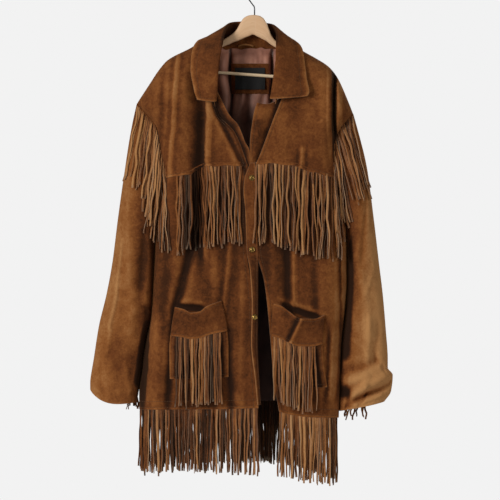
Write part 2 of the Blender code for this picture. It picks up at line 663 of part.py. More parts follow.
def comb(name, roots, tips, under, face, up=(0.0, 1.0), bends=(1.0,), reach=6.0, fallback=0.0,
         width=STRAND_WIDTH, stuff="suede_fringe"):
    """Strands hanging from one narrow strip. roots and tips are x, z pairs, one for each strand."""
    sign = -1 if face == "front" else 1
    data = bmesh.new()
    roots, tips = np.array(roots, dtype=float), np.array(tips, dtype=float)
    count = len(roots)
    thick = STRAND_THICK

    def corner(x, z, out):
        return data.verts.new(Vector((x, out, z)) * MM)

    steps = np.linalg.norm(np.diff(roots, axis=0), axis=1)
    columns = []
    for i in range(count):
        ahead = roots[min(i + 1, count - 1)] - roots[max(i - 1, 0)]
        ahead = ahead / np.linalg.norm(ahead)
        pitch = steps[max(i - 1, 0)] if i else steps[0]
        half = min(width / 2, pitch * 0.36)
        columns += [(roots[i] - ahead * half, i), (roots[i] + ahead * half, i)]
    rise = np.array(up) * STRIP_HEIGHT
    strip = []
    depths = []
    for i in range(count):
        below = roots[i] + (tips[i] - roots[i]) * bends[0] / STRAND_PROBES
        needs = [under.out(*(roots[i] + rise * s), reach / 2, face, fallback) for s in (0, 1)]
        needs.append(under.out(*below, reach, face, fallback))
        depths.append(max(sign * need for need in needs))
    for place, i in columns:
        back = sign * depths[i]
        high = place + rise
        strip.append([corner(high[0], high[1], back), corner(high[0], high[1], back + sign * thick),
                      corner(place[0], place[1], back + sign * thick), corner(place[0], place[1], back)])
    for c in range(len(columns) - 1):
        a, b = strip[c], strip[c + 1]
        data.faces.new([a[0], b[0], b[1], a[1]])
        data.faces.new([a[1], b[1], b[2], a[2]])
        data.faces.new([a[3], b[3], b[0], a[0]])
        if c % 2:
            data.faces.new([a[2], b[2], b[3], a[3]])
    for end in (strip[0], strip[-1]):
        data.faces.new(end)
    for i in range(count):
        a, b = strip[2 * i], strip[2 * i + 1]
        ring = [a[3], a[2], b[2], b[3]]
        start = sign * a[3].co.y / MM
        flip = 1 if columns[2 * i + 1][0][0] > columns[2 * i][0][0] else -1
        last_share, last_out = 0.0, start
        for share in bends:
            spot = roots[i] + (tips[i] - roots[i]) * share
            probes = np.linspace(0, 1, STRAND_PROBES + 1)[1:]
            need = [sign * under.out(*(roots[i] + (tips[i] - roots[i]) * s), reach, face, fallback)
                    for s in last_share + (share - last_share) * probes]
            out = need[-1]
            for n, s in zip(need, probes):
                out = max(out, (n - (1 - s) * last_out) / s)
            low = []
            for dx, extra in ((-1, 0), (-1, thick), (1, thick), (1, 0)):
                low.append(corner(spot[0] + dx * flip * width / 2, spot[1], sign * (out + extra)))
            for k in range(4):
                m = (k + 1) % 4
                data.faces.new([ring[k], ring[m], low[m], low[k]])
            ring, last_share, last_out = low, share, out
        data.faces.new(ring)
    bmesh.ops.recalc_face_normals(data, faces=data.faces)
    return finish(name, data, stuff)


def along(rows, count, start, end):
    """count places, evenly apart by x, along a line of x, z rows, this far inside its ends."""
    x0, x1 = rows[0][0], rows[-1][0]
    way = math.copysign(1.0, x1 - x0)
    xs = np.linspace(x0 + way * start, x1 - way * end, count)
    return [(x, rows_at(rows, x)[0]) for x in xs]


def sway(i, size=1.1):
    """Small uneven lean, the same on each run."""
    return size * math.sin(i * 2.4) * math.cos(i * 0.7 + 1.0)


def hanging(rows, tip_rows, count, margins, drop=0.0, uneven=4.0):
    roots = [(x, z - drop) for x, z in along(rows, count, *margins)]
    tips = [(x + sway(i), rows_at(tip_rows, x)[0] + uneven * math.sin(i * 1.9))
            for i, (x, _) in enumerate(roots)]
    return roots, tips


def make_yoke_fringe(side, under):
    roots, tips = hanging(YOKE_SEAM[side], YOKE_FRINGE_TIPS[side], STRANDS["yoke"], (7.0, 14.0), drop=4.0)
    return comb(f"fringe_yoke_{side}", roots, tips, under, "front")


def make_armhole_fringe(side, face, under):
    roots = ARMHOLE_ROOTS[side]
    outward = -1 if side == "left" else 1
    roots = [(x + outward * 4.0, z - 1.0) for x, z in roots]
    if face == "back":
        roots = roots[:ARMHOLE_BACK]
    spread = np.linspace(*ARMHOLE_SPREAD[side], len(ARMHOLE_ROOTS[side]))[:len(roots)]
    tips = [(tip_x + sway(i), z - ARMHOLE_LENGTH + 4 * math.sin(i * 1.7))
            for i, ((x, z), tip_x) in enumerate(zip(roots, spread))]
    return comb(f"fringe_armhole_{side}_{face}", roots, tips, under, face, up=(-outward * 0.55, 0.83),
                bends=(0.5, 1.0), reach=5.4, fallback=8.0, width=STRAND_WIDTH * 0.9)


def make_pocket_fringe(side, under):
    flat = pocket_flat(side)
    edge = [tuple(flat(u, BAND_SHARE)) for u in np.linspace(0.02, 0.98, 9)]
    roots, tips = hanging(edge, POCKET_TIPS[side], STRANDS["pocket"], (8.0, 10.0), drop=1.0)
    return comb(f"fringe_pocket_{side}", roots, tips, under, "front")


class HemLine:
    """Stands in for an Underlay: strands keep the wall's depth at the hem all the way down."""

    def __init__(self, rows):
        self.rows = rows

    def out(self, x, z, reach, face, fallback):
        depth = abs(body_y(face, x, rows_at(self.rows, x)[0])) - SUEDE / 2
        return -depth if face == "front" else depth


def make_hem_fringe(name, rows, tip_rows, count, face):
    """Strands in line with the wall, from a strip just under its edge."""
    roots, tips = hanging(rows, tip_rows, count, (4.0, 8.0), drop=SEAM_GAP + HEM_SAG + STRIP_HEIGHT)
    return comb(name, roots, tips, HemLine(rows), face)


def make_cuff_fringe(side, under):
    """Short ends of the sleeve seam's fringe, which show under the back of the cuff."""
    x0, x1, top, low = CUFF_FRINGE[side]
    xs = np.linspace(x0, x1, STRANDS["cuff"])
    roots = [(x, top) for x in xs]
    tips = [(x + sway(i), low - 3 * math.sin(i * 1.3)) for i, x in enumerate(xs)]
    return comb(f"fringe_cuff_{side}", roots, tips, under, "back", fallback=26.0)


# ---- hanger ---------------------------------------------------------------------------------------

def make_hanger():
    data = bmesh.new()
    rings = []
    for x, top, low, deep in HANGER:
        middle, half = (top + low) / 2, (top - low) / 2
        ring = []
        for k in range(WOOD_SIDES):
            turn = 2 * math.pi * (k + 0.5) / WOOD_SIDES
            y = math.copysign(abs(math.cos(turn)) ** 0.6, math.cos(turn)) * deep
            rise = math.copysign(abs(math.sin(turn)) ** 0.6, math.sin(turn)) * half
            ring.append(data.verts.new(Vector((x, y, middle + rise)) * MM))
        rings.append(ring)
    for a, b in zip(rings, rings[1:]):
        for k in range(WOOD_SIDES):
            m = (k + 1) % WOOD_SIDES
            data.faces.new([a[k], a[m], b[m], b[k]])
    data.faces.new(rings[0])
    data.faces.new(rings[-1])
    bmesh.ops.recalc_face_normals(data, faces=data.faces)
    return finish("hanger_wood", data, "beech")


def tube(name, points, radius, stuff, resolution=2):
    line = bpy.data.curves.new(name, "CURVE")
    line.dimensions = "3D"
    line.bevel_depth = radius * MM
    line.bevel_resolution = resolution
    line.use_fill_caps = True
    run = line.splines.new("POLY")
    run.points.add(len(points) - 1)
    for spot, place in zip(run.points, points):
        spot.co = (*(Vector(place) * MM), 1.0)
    line.materials.append(material(stuff))
    item = bpy.data.objects.new(name, line)
    bpy.context.scene.collection.objects.link(item)
    return item


def make_hook():
    """Stem, a lean to the left, then a round hook over the top, open on the right."""
    centre_z = -(HOOK_RADIUS - HOOK_WIRE)
    kink_z = centre_z - HOOK_RADIUS / math.sin(HOOK_LEAN)
    points = [(0, 0, WOOD_TOP + 0.1), (0, 0, kink_z - 3), (-0.7, 0, kink_z + 2)]
    start = math.pi + HOOK_LEAN
    for share in spaced(18):
        turn = start + (HOOK_END - start) * share
        points.append((HOOK_RADIUS * math.cos(turn), 0, centre_z + HOOK_RADIUS * math.sin(turn)))
    return tube("hanger_hook", points, HOOK_WIRE, "hook_steel", 1)


def make_loop(under):
    """Short suede loop sewn on at the back of the neck."""
    points = []
    for x, z, off in ((-39, -145.5, 0), (-33, -143, 2), (-21, -141.5, 4), (-9, -143, 2), (-3, -145.5, 0)):
        points.append((x, under.out(x, z, 3, "front", -20) - LOOP_WIRE - off, z))
    return tube("hang_loop", points, LOOP_WIRE, "suede", 1)


def main():
    clear_scene()
    make_hook()
    make_hanger()
    tube("hanger_bar", [(BAR_ENDS[0][0], 0, BAR_ENDS[0][1]), (BAR_ENDS[1][0], 0, BAR_ENDS[1][1])],
         BAR_RADIUS, "beech")
    yokes = {side: make_yoke(side) for side in ("left", "right")}
    fronts = {side: make_front(side) for side in ("left", "right")}
    back = make_back()
    sleeves = {side: make_sleeve(side) for side in ("left", "right")}
    make_label(make_lining())
    make_loop(Underlay([make_collar()]))
    panels = list(yokes.values()) + list(fronts.values())
    on_fronts = Underlay(panels)
    strip = make_snap_strip(on_fronts)
    on_strip = Underlay([strip])
    for name, (x, z) in SNAPS.items():
        make_snap(name, x, z, on_strip)
    for side in ("left", "right"):
        make_facing(side)
        make_yoke_fringe(side, Underlay(panels + [strip]))
        pocket, band = make_pocket(side, on_fronts)
        make_pocket_fringe(side, Underlay([pocket, band, fronts[side]]))
        body = [yokes[side], fronts[side], sleeves[side]]
        make_armhole_fringe(side, "front", Underlay(body))
        make_armhole_fringe(side, "back", Underlay([back, sleeves[side]]))
        make_hem_fringe(f"fringe_hem_{side}", HEM[side], HEM_TIPS[side], STRANDS[f"hem_{side}"], "front")
        make_cuff_fringe(side, Underlay([sleeves[side]]))
    make_hem_fringe("fringe_hem_back", BACK_HEM, BACK_HEM_TIPS, STRANDS["hem_back"], "back")


main()
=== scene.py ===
import math

import bpy
import numpy as np
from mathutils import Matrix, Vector
from mathutils.bvhtree import BVHTree


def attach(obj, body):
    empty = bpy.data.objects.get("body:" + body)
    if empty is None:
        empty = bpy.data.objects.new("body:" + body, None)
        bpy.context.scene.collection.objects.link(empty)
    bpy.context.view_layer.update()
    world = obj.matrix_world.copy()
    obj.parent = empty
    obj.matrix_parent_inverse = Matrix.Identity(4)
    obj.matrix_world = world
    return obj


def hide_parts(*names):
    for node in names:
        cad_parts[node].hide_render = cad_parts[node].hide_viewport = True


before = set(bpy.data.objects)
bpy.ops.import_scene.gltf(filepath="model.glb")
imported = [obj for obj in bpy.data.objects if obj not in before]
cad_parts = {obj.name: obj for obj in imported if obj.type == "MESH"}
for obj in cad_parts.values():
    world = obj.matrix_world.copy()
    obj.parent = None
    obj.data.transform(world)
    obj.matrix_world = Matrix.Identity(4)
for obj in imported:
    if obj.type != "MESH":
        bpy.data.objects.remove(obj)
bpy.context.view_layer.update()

# Fringed suede jacket on a wooden hanger. Tables are in millimetres, z up, the front faces -y.
# The origin is the inner top of the hook. "left" and "right" are as seen from the front.

mm = 0.001       # metres in a millimetre
sides = ("left", "right")
outward = {"left": -1, "right": 1}
gridOf = {}      # middle surface of each cloth piece, by name
treeOf = {}      # search tree of each piece that something lies on


def tableAt(rows, keys):
    # values of a table at keys in its first column, on a smooth curve that never overshoots its rows
    data = np.array(rows, dtype=float)
    if data[0, 0] > data[-1, 0]:
        data = data[::-1]
    known, values = data[:, 0], data[:, 1:]
    keys = np.clip(np.asarray(keys, dtype=float), known[0], known[-1])
    slope = np.diff(values, axis=0) / np.diff(known)[:, None]
    tangent = np.zeros_like(values)
    tangent[0], tangent[-1] = slope[0], slope[-1]
    before, after = slope[:-1], slope[1:]
    same = before * after > 0
    tangent[1:-1] = np.where(same, 2 * before * after / np.where(same, before + after, 1), 0)
    i = np.clip(np.searchsorted(known, keys, side="right") - 1, 0, len(known) - 2)
    width = (known[i + 1] - known[i])[..., None]
    t = (keys - known[i])[..., None] / width
    return ((2 * t**3 - 3 * t**2 + 1) * values[i] + (t**3 - 2 * t**2 + t) * width * tangent[i]
            + (3 * t**2 - 2 * t**3) * values[i + 1] + (t**3 - t**2) * width * tangent[i + 1])


def alongPath(points, shares):
    data = np.array(points, dtype=float)
    runs = np.linalg.norm(np.diff(data, axis=0), axis=1)
    place = np.concatenate([[0.0], np.cumsum(runs)]) / runs.sum()
    return tableAt(np.column_stack([place, data]), shares)


def steps(length, cell, startRound=0.0, endRound=0.0):
    # shares of a length, close together at its ends for rims and stitch lines, or where it turns round
    def fromEnd(radius):
        if radius:
            turn = np.linspace(0, math.pi / 2, max(4, math.ceil(radius * 1.57 / cell)))
            return radius * (1 - np.cos(turn))
        return np.array([0, 0.8, 1.7, 2.8, 4, 5.2, 6.4, 7.6, 9, 11])
    first, last = fromEnd(startRound), length - fromEnd(endRound)[::-1]
    count = max(2, math.ceil((last[0] - first[-1]) / cell))
    return np.concatenate([first, np.linspace(first[-1], last[0], count + 1)[1:-1], last]) / length


def patchSteps(form, startRound=0.0, endRound=0.0, topRound=0.0):
    # shares across and down a piece of cloth that is about as wide and long as its form says
    wide, high = form["cells"]
    return steps(form["across"], wide, startRound, endRound), steps(form["down"], high, topRound)


def softNoise(x, z, size, seed):
    # smooth uneven field from -1 to 1; size is the width of its patches in millimetres
    values = np.random.default_rng(seed).uniform(-1, 1, (64, 64))
    gridX, gridZ = x / size + 31.7, z / size + 17.3
    i, j = np.floor(gridX).astype(int), np.floor(gridZ).astype(int)
    a, b = gridX - i, gridZ - j
    a, b = a**3 * (6 * a * a - 15 * a + 10), b**3 * (6 * b * b - 15 * b + 10)
    i, j, i1, j1 = i % 64, j % 64, (i + 1) % 64, (j + 1) % 64
    return ((values[i, j] * (1 - a) + values[i1, j] * a) * (1 - b)
            + (values[i, j1] * (1 - a) + values[i1, j1] * a) * b)


def bell(distance, width):
    return np.exp(-(distance / width) ** 2)


def smoothStep(share):
    return share * share * (3 - 2 * share)


def linear(code):
    parts = [int(code[i:i + 2], 16) / 255 for i in (1, 3, 5)]
    return tuple(p / 12.92 if p <= 0.04045 else ((p + 0.055) / 1.055) ** 2.4 for p in parts) + (1.0,)


def addNode(tree, kind, settings=None, links=None):
    # One node. Settings are its properties, its sockets' values or a ramp's stops of colour or grey.
    # Links go from a socket into one of its own.
    node = tree.nodes.new("ShaderNode" + kind)
    for name, value in (settings or {}).items():
        if name == "stops":
            elements = node.color_ramp.elements
            while len(elements) < len(value):
                elements.new(0.5)
            for element, (place, colour) in zip(elements, value):
                element.position = place
                element.color = linear(colour) if isinstance(colour, str) else (colour, colour, colour, 1.0)
        elif isinstance(name, str) and hasattr(node, name):
            setattr(node, name, value)
        else:
            node.inputs[name].default_value = value
    for name, source in (links or {}).items():
        tree.links.new(source, node.inputs[name])
    return node


def newMaterial(name, surface):
    # a material with one shader; surface holds the shader's fixed values
    made = bpy.data.materials.new(name)
    made.use_nodes = True
    tree = made.node_tree
    tree.nodes.clear()
    shader = addNode(tree, "BsdfPrincipled", surface)
    addNode(tree, "OutputMaterial", links={"Surface": shader.outputs[0]})
    return made, tree, shader


bandScale = 0.314      # scale of a wave texture that gives one band per metre
suedeLook = {
    # from the darkest tone, which gives painted shade, to the pale rubbed ridges
    "tones": [(0.30, "#2a160a"), (0.42, "#4b2811"), (0.50, "#6d3c1b"), (0.60, "#90582b"), (0.80, "#bd8854")],
    "rawEdge": "#b5a088", "rub": 0.14, "base": 0.2,
    # size of the patches, their noise and how far they move the tone
    "layers": {"patches": (0.070, {"Detail": 3.0, "Roughness": 0.5}, 0.22),
               "brushed": (0.014, {"Detail": 3.0, "Roughness": 0.6, "Distortion": 0.8}, 0.18),
               "nap": (0.0045, {"Detail": 4.0, "Roughness": 0.7}, 0.19)},
    "surface": {"Roughness": 0.95, "IOR": 1.45, "Specular IOR Level": 0.2, "Sheen Weight": 0.25,
                "Sheen Roughness": 0.45, "Sheen Tint": linear("#d9a066")},
}


def suede(name, look, lighter=0.0):
    # Suede, split hide with its flesh side buffed. The nap lies in patches, so the eye sees soft light
    # and dark clouds, paler rubbed ridges, a faint sheen at grazing angles and pale raw cut edges.
    # Its tone also carries painted shade in folds, grooves and under the fringe, and painted light on some
    # ridges and flanks.
    made, tree, shader = newMaterial(name, look["surface"])
    place = addNode(tree, "TexCoord").outputs["Object"]
    rub = addNode(tree, "Attribute", {"attribute_name": "rub"}).outputs["Fac"]
    tone = addNode(tree, "Math", {"operation": "MULTIPLY_ADD", 1: look["rub"], 2: lighter + look["base"]},
                   {0: rub}).outputs[0]
    noise = {}
    for layer, (size, settings, amount) in look["layers"].items():
        noise[layer] = addNode(tree, "TexNoise", {"Scale": 1 / size, **settings},
                               {"Vector": place}).outputs["Fac"]
        tone = addNode(tree, "Math", {"operation": "MULTIPLY_ADD", 1: amount},
                       {0: noise[layer], 2: tone}).outputs[0]
    raw = addNode(tree, "Attribute", {"attribute_name": "rawEdge"}).outputs["Fac"]
    colour = addNode(tree, "ValToRGB", {"stops": look["tones"]}, {"Fac": tone}).outputs["Color"]
    mixed = addNode(tree, "Mix", {"data_type": "RGBA", 7: linear(look["rawEdge"])}, {0: raw, 6: colour})
    tree.links.new(mixed.outputs[2], shader.inputs["Base Color"])
    rough = addNode(tree, "Bump", {"Strength": 0.5, "Distance": 0.0005}, {"Height": noise["nap"]})
    soft = addNode(tree, "Bump", {"Strength": 0.4, "Distance": 0.0018},
                   {"Height": noise["brushed"], "Normal": rough.outputs[0]})
    tree.links.new(soft.outputs[0], shader.inputs["Normal"])
    return made


satinLook = {
    # darker tones inside the jacket, and paler tones painted as light where it shows at the neck
    "tones": [(0.3, "#33201b"), (0.75, "#553930")], "fadedTones": [(0.3, "#7f4f40"), (0.75, "#cb8f76")],
    "threadWidth": 0.0009, "cloudsPerMetre": 22.0, "threads": 0.15,
    "surface": {"Roughness": 0.5, "Specular IOR Level": 0.3, "Sheen Weight": 0.05},
}


def satin(name, look):
    # Lining satin, woven of fine bright threads that lie flat, so folds show soft silky streaks of light.
    # It is paler where it shows at the neck, which is painted light; deeper inside and down in its wrinkles
    # it keeps the darker tones, painted shade.
    # The threads are 0.1 mm and would not show, so they are drawn 0.9 mm apart.
    made, tree, shader = newMaterial(name, look["surface"])
    place = addNode(tree, "TexCoord").outputs["Object"]
    threads = addNode(tree, "TexWave", {"wave_type": "BANDS", "bands_direction": "X",
                                        "Scale": bandScale / look["threadWidth"], "Distortion": 1.5,
                                        "Detail": 2.0}, {"Vector": place}).outputs["Fac"]
    cloud = addNode(tree, "TexNoise", {"Scale": look["cloudsPerMetre"], "Detail": 3.0},
                    {"Vector": place}).outputs["Fac"]
    tone = addNode(tree, "Math", {"operation": "MULTIPLY_ADD", 1: look["threads"]},
                   {0: threads, 2: cloud}).outputs[0]
    paintedLight = addNode(tree, "Attribute", {"attribute_name": "rub"}).outputs["Fac"]
    new, litColour = [addNode(tree, "ValToRGB", {"stops": look[tones]}, {"Fac": tone}).outputs["Color"]
                for tones in ("tones", "fadedTones")]
    mixed = addNode(tree, "Mix", {"data_type": "RGBA"}, {0: paintedLight, 6: new, 7: litColour})
    tree.links.new(mixed.outputs[2], shader.inputs["Base Color"])
    weave = addNode(tree, "Bump", {"Strength": 0.15, "Distance": 0.0002}, {"Height": threads})
    tree.links.new(weave.outputs[0], shader.inputs["Normal"])
    return made


beechLook = {
    "tones": [(0.35, "#eabd91"), (0.62, "#f0c69b")], "fleck": "#d3a277", "ringWidth": 0.0035,
    "fleckSize": 0.0013, "drawnOut": (0.05, 1.0, 1.0), "flecks": [(0.58, 0.0), (0.75, 0.45)],
    "surface": {"Roughness": 0.45, "IOR": 1.5, "Coat Weight": 0.2, "Coat Roughness": 0.25},
}


def beech(name, look):
    # Beech, sawn, sanded and clear lacquered: pale pinkish tan with faint long growth lines and small
    # darker flecks, and a soft gloss from the lacquer.
    made, tree, shader = newMaterial(name, look["surface"])
    along = addNode(tree, "Attribute", {"attribute_name": "grain"}).outputs["Vector"]
    grain = addNode(tree, "Mapping", {"Scale": look["drawnOut"]}, {"Vector": along}).outputs[0]
    rings = addNode(tree, "TexNoise", {"Scale": 1 / look["ringWidth"], "Detail": 3.0, "Distortion": 0.4},
                    {"Vector": grain}).outputs["Fac"]
    flecks = addNode(tree, "TexNoise", {"Scale": 1 / look["fleckSize"], "Detail": 2.0},
                     {"Vector": grain}).outputs["Fac"]
    spots = addNode(tree, "ValToRGB", {"stops": look["flecks"]}, {"Fac": flecks}).outputs["Color"]
    tone = addNode(tree, "ValToRGB", {"stops": look["tones"]}, {"Fac": rings}).outputs["Color"]
    mixed = addNode(tree, "Mix", {"data_type": "RGBA", 7: linear(look["fleck"])}, {0: spots, 6: tone})
    tree.links.new(mixed.outputs[2], shader.inputs["Base Color"])
    bump = addNode(tree, "Bump", {"Strength": 0.12, "Distance": 0.0003}, {"Height": flecks})
    tree.links.new(bump.outputs[0], shader.inputs["Normal"])
    return made


def metal(name, look):
    # Metal with an uneven finish: two tones in soft patches, the darker one duller.
    made, tree, shader = newMaterial(name, {"Metallic": 1.0})
    place = addNode(tree, "TexCoord").outputs["Object"]
    wear = addNode(tree, "TexNoise", {"Scale": 1 / look["patchSize"], "Detail": 4.0},
                   {"Vector": place}).outputs["Fac"]
    for stops, socket in (("tones", "Base Color"), ("roughness", "Roughness")):
        tone = addNode(tree, "ValToRGB", {"stops": look[stops]}, {"Fac": wear})
        tree.links.new(tone.outputs["Color"], shader.inputs[socket])
    return made


def wovenCloth(name, look):
    # Plain woven cloth with threads over and under, dull.
    made, tree, shader = newMaterial(name, {"Roughness": look["roughness"]})
    place = addNode(tree, "TexCoord").outputs["Object"]
    settings = {"wave_type": "BANDS", "Scale": bandScale / look["threadWidth"], "Detail": 1.0}
    across = addNode(tree, "TexWave", {**settings, "bands_direction": "X"}, {"Vector": place}).outputs["Fac"]
    down = addNode(tree, "TexWave", {**settings, "bands_direction": "Z"}, {"Vector": place}).outputs["Fac"]
    weave = addNode(tree, "Math", {"operation": "MULTIPLY"}, {0: across, 1: down}).outputs[0]
    tone = addNode(tree, "ValToRGB", {"stops": look["tones"]}, {"Fac": weave})
    tree.links.new(tone.outputs["Color"], shader.inputs["Base Color"])
    bump = addNode(tree, "Bump", {"Strength": 0.4, "Distance": 0.0003}, {"Height": weave})
    tree.links.new(bump.outputs[0], shader.inputs["Normal"])
    return made


bodySuede = suede("buffedSuede", suedeLook)
fringeSuede = suede("cutSuedeFringe", suedeLook, lighter=0.03)
liningSatin = satin("burgundySatin", satinLook)
hangerBeech = beech("lacqueredBeech", beechLook)
# the bar: the same beech in paler tones, painted light for a bar that hangs in the collar's shadow
barBeechLit = beech("turnedBeech", {**beechLook, "tones": [(0.35, "#f6d6aa"), (0.62, "#fbe0b8")]})
# steel wire, drawn and darkened: dark grey with a dull shine
hookSteel = metal("drawnSteelWire", {"tones": [(0.35, "#2e2f31"), (0.65, "#55565a")],
                                     "roughness": [(0.3, 0.45), (0.7, 0.28)], "patchSize": 0.004})
# brass, pressed and browned, worn bright in soft patches
snapBrass = metal("antiqueBrass", {"tones": [(0.35, "#4a381d"), (0.65, "#c09a55")],
                                   "roughness": [(0.3, 0.5), (0.7, 0.28)], "patchSize": 0.003})
# polyester label cloth, woven of black threads: nearly black with a fine weave
labelCloth = wovenCloth("wovenLabelCloth", {"tones": [(0.0, "#131211"), (1.0, "#2c2a28")],
                                            "threadWidth": 0.0012, "roughness": 0.8})
# cotton thread, spun and dyed brown: small dashes, a little paler than the hide
sewingThread = wovenCloth("brownSewingThread", {"tones": [(0.0, "#4a2c14"), (1.0, "#8f6435")],
                                                "threadWidth": 0.0009, "roughness": 0.7})
print("materials made")


def ringFaces(rings, count, first=0, closed=True):
    # faces between rings of count corners each, and over both ends if closed
    faces = []
    for start in range(first, first + (rings - 1) * count, count):
        for k in range(count):
            a, b = start + k, start + (k + 1) % count
            faces.append((a, b, b + count, a + count))
    if closed:
        last = first + (rings - 1) * count
        faces += [tuple(range(first, first + count))[::-1], tuple(range(last, last + count))]
    return faces


def meshPiece(name, verts, faces, material, attributes=None):
    words = name.split("_")      # the CAD nodes keep their own names
    name = words[0] + "".join(word.capitalize() for word in words[1:])
    mesh = bpy.data.meshes.new(name)
    mesh.from_pydata((np.asarray(verts) * mm).tolist(), [], faces)
    mesh.validate()
    mesh.shade_smooth()
    for key, values in (attributes or {}).items():
        values = np.asarray(values, dtype=np.float32)
        kind, field = ("FLOAT", "value") if values.ndim == 1 else ("FLOAT_VECTOR", "vector")
        mesh.attributes.new(key, kind, "POINT").data.foreach_set(field, values.reshape(-1))
    mesh.materials.append(material)
    piece = bpy.data.objects.new(name, mesh)
    bpy.context.scene.collection.objects.link(piece)
    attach(piece, "root")
    return piece


def gridNormals(grid, wrap=False):
    across = np.gradient(np.concatenate([grid[-1:], grid, grid[:1]]), axis=0)[1:-1] if wrap \
        else np.gradient(grid, axis=0)
    normal = np.cross(across, np.gradient(grid, axis=1))
    size = np.linalg.norm(normal, axis=2, keepdims=True)
    return normal / np.maximum(size, 1e-9)


def clothPiece(name, grid, thick, rub=None, raw=0.5, seams=(), wrap=False, outwardNormal=None,
               material=bodySuede):
    # Cloth or hide about a middle surface: an outer skin, an inner skin and a rounded raw rim.
    # Its tone value holds its wear and painted light and shade, raw is how pale its cut edges are, and seams
    # are the sides that are sewn and stay dark.
    columns, rows = grid.shape[:2]
    normal = gridNormals(grid, wrap) if outwardNormal is None else outwardNormal
    rub = np.zeros((columns, rows)) if rub is None else rub
    count = columns * rows
    verts = [(grid + normal * thick / 2).reshape(-1, 3), (grid - normal * thick / 2).reshape(-1, 3)]
    index = np.arange(count).reshape(columns, rows)
    if wrap:
        index = np.concatenate([index, index[:1]])
    a, b, c, d = index[:-1, :-1], index[1:, :-1], index[1:, 1:], index[:-1, 1:]
    faces = [np.stack([a, b, c, d], -1).reshape(-1, 4), np.stack([a, d, c, b], -1).reshape(-1, 4) + count]
    if wrap:
        loops = [index[:, 0], index[:, -1][::-1]]
    else:
        loops = [np.concatenate([index[:-1, 0], index[-1, :-1], index[1:, -1][::-1], index[0, 1:][::-1],
                                 index[:1, 0]])]
    flat = grid.reshape(-1, 3)
    down, across = np.gradient(grid, axis=1), np.gradient(grid, axis=0)
    start = 2 * count
    pale = []
    for loop in loops:
        ring = loop[:-1]
        i, j = np.divmod(ring, rows)
        sewn = np.select([j == rows - 1, j == 0, i == 0, i == columns - 1],
                         [side in seams for side in ("low", "top", "first", "last")], False)
        pale += np.where(sewn, 0.0, raw).tolist()
        push = np.zeros((len(ring), 3))
        if not wrap:
            push += ((i == columns - 1) * 1 - (i == 0))[:, None] * across[i, j]
        push += ((j == rows - 1) * 1 - (j == 0))[:, None] * down[i, j]
        push /= np.maximum(np.linalg.norm(push, axis=1, keepdims=True), 1e-9)
        verts.append(flat[ring] + push * thick * 0.35)
        rim = start + np.arange(len(ring))
        start += len(ring)
        nextRim, nextRing = np.roll(rim, -1), np.roll(ring, -1)
        faces.append(np.stack([ring, rim, nextRim, nextRing], -1))
        faces.append(np.stack([rim, ring + count, nextRing + count, nextRim], -1))
    edge = np.concatenate([np.zeros(2 * count), pale])
    wear = np.concatenate([rub.reshape(-1), rub.reshape(-1), np.zeros(len(pale))])
    piece = meshPiece(name, np.concatenate(verts), np.concatenate(faces).tolist(), material,
                      {"rawEdge": edge, "rub": wear})
    gridOf[piece.name] = grid
    return piece


def treeFor(*pieces):
    for piece in pieces:
        if piece.name not in treeOf:
            mesh = piece.data
            treeOf[piece.name] = BVHTree.FromPolygons([v.co.copy() for v in mesh.vertices],
                                                      [tuple(p.vertices) for p in mesh.polygons])
    return [treeOf[piece.name] for piece in pieces]


def outTo(trees, x, z, face, fallback):
    # how far out from the middle plane the pieces come at each x, z; a miss takes the place before it
    sign = -1 if face == "front" else 1
    missed = -1000.0
    found = np.full(np.shape(x), missed)
    for place in np.ndindex(found.shape):
        start = Vector((x[place] * mm, sign * 0.5, z[place] * mm))
        for tree in trees:
            hit = tree.ray_cast(start, Vector((0, -sign, 0)))[0]
            if hit is not None:
                found[place] = max(found[place], sign * hit.y / mm)
    before = fallback
    for k in range(found.shape[-1]):
        before = found[..., k] = np.where(found[..., k] == missed, before, found[..., k])
    return found


stitch = {
    "length": 3.0, "pitch": 4.2, "width": 1.1, "height": 0.45, "raised": 0.1, "corners": 4,
    # share of the length and how thick the thread is there
    "form": ((0, 0.2), (0.25, 1.0), (0.75, 1.0), (1.0, 0.2)),
}


def stitchRows(name, lines):
    # Each line is a run of points on a surface with its outward normals; threads lie along it.
    verts, faces = [], []
    shares, sizes = np.array(stitch["form"]).T
    turns = np.linspace(0, 2 * math.pi, stitch["corners"], endpoint=False)
    for points, normals in lines:
        runs = np.concatenate([[0], np.cumsum(np.linalg.norm(np.diff(points, axis=0), axis=1))])
        starts = np.arange(stitch["pitch"], runs[-1] - stitch["pitch"], stitch["pitch"])
        for begin in starts:
            at = begin + stitch["length"] * shares
            spots = np.stack([np.interp(at, runs, points[:, k]) for k in range(3)], -1)
            out = np.stack([np.interp(begin, runs, normals[:, k]) for k in range(3)], -1)
            way = spots[-1] - spots[0]
            way = way / max(np.linalg.norm(way), 1e-9)
            side = np.cross(way, out)
            side /= max(np.linalg.norm(side), 1e-9)
            faces += ringFaces(len(spots), len(turns), len(verts))
            for spot, size in zip(spots, sizes):
                for turn in turns:
                    verts.append(spot + side * math.cos(turn) * stitch["width"] / 2 * size
                                 + out * (math.sin(turn) * stitch["height"] * size + stitch["raised"]))
    return meshPiece(name, verts, faces, sewingThread)


def sew(piece, thick, lines, face="front"):
    # rows of stitches on a cloth piece; a line is its columns or rows and the share of it that is sewn
    grid = gridOf[piece.name]
    normal = gridNormals(grid)
    normal *= np.sign(normal[..., 1].mean()) * (-1 if face == "front" else 1)
    skin = grid + normal * thick / 2
    picked = []
    for kind, index, first, last in lines:
        run = len(grid) if kind == "row" else grid.shape[1]
        part = slice(int(first * run), int(last * run) + 1)
        place = (part, index) if kind == "row" else (index, part)
        picked.append((skin[place], normal[place]))
    stitchRows(piece.name + "Stitches", picked)


def nearest(shares, length, place):
    return int(np.argmin(np.abs(shares * length - place)))


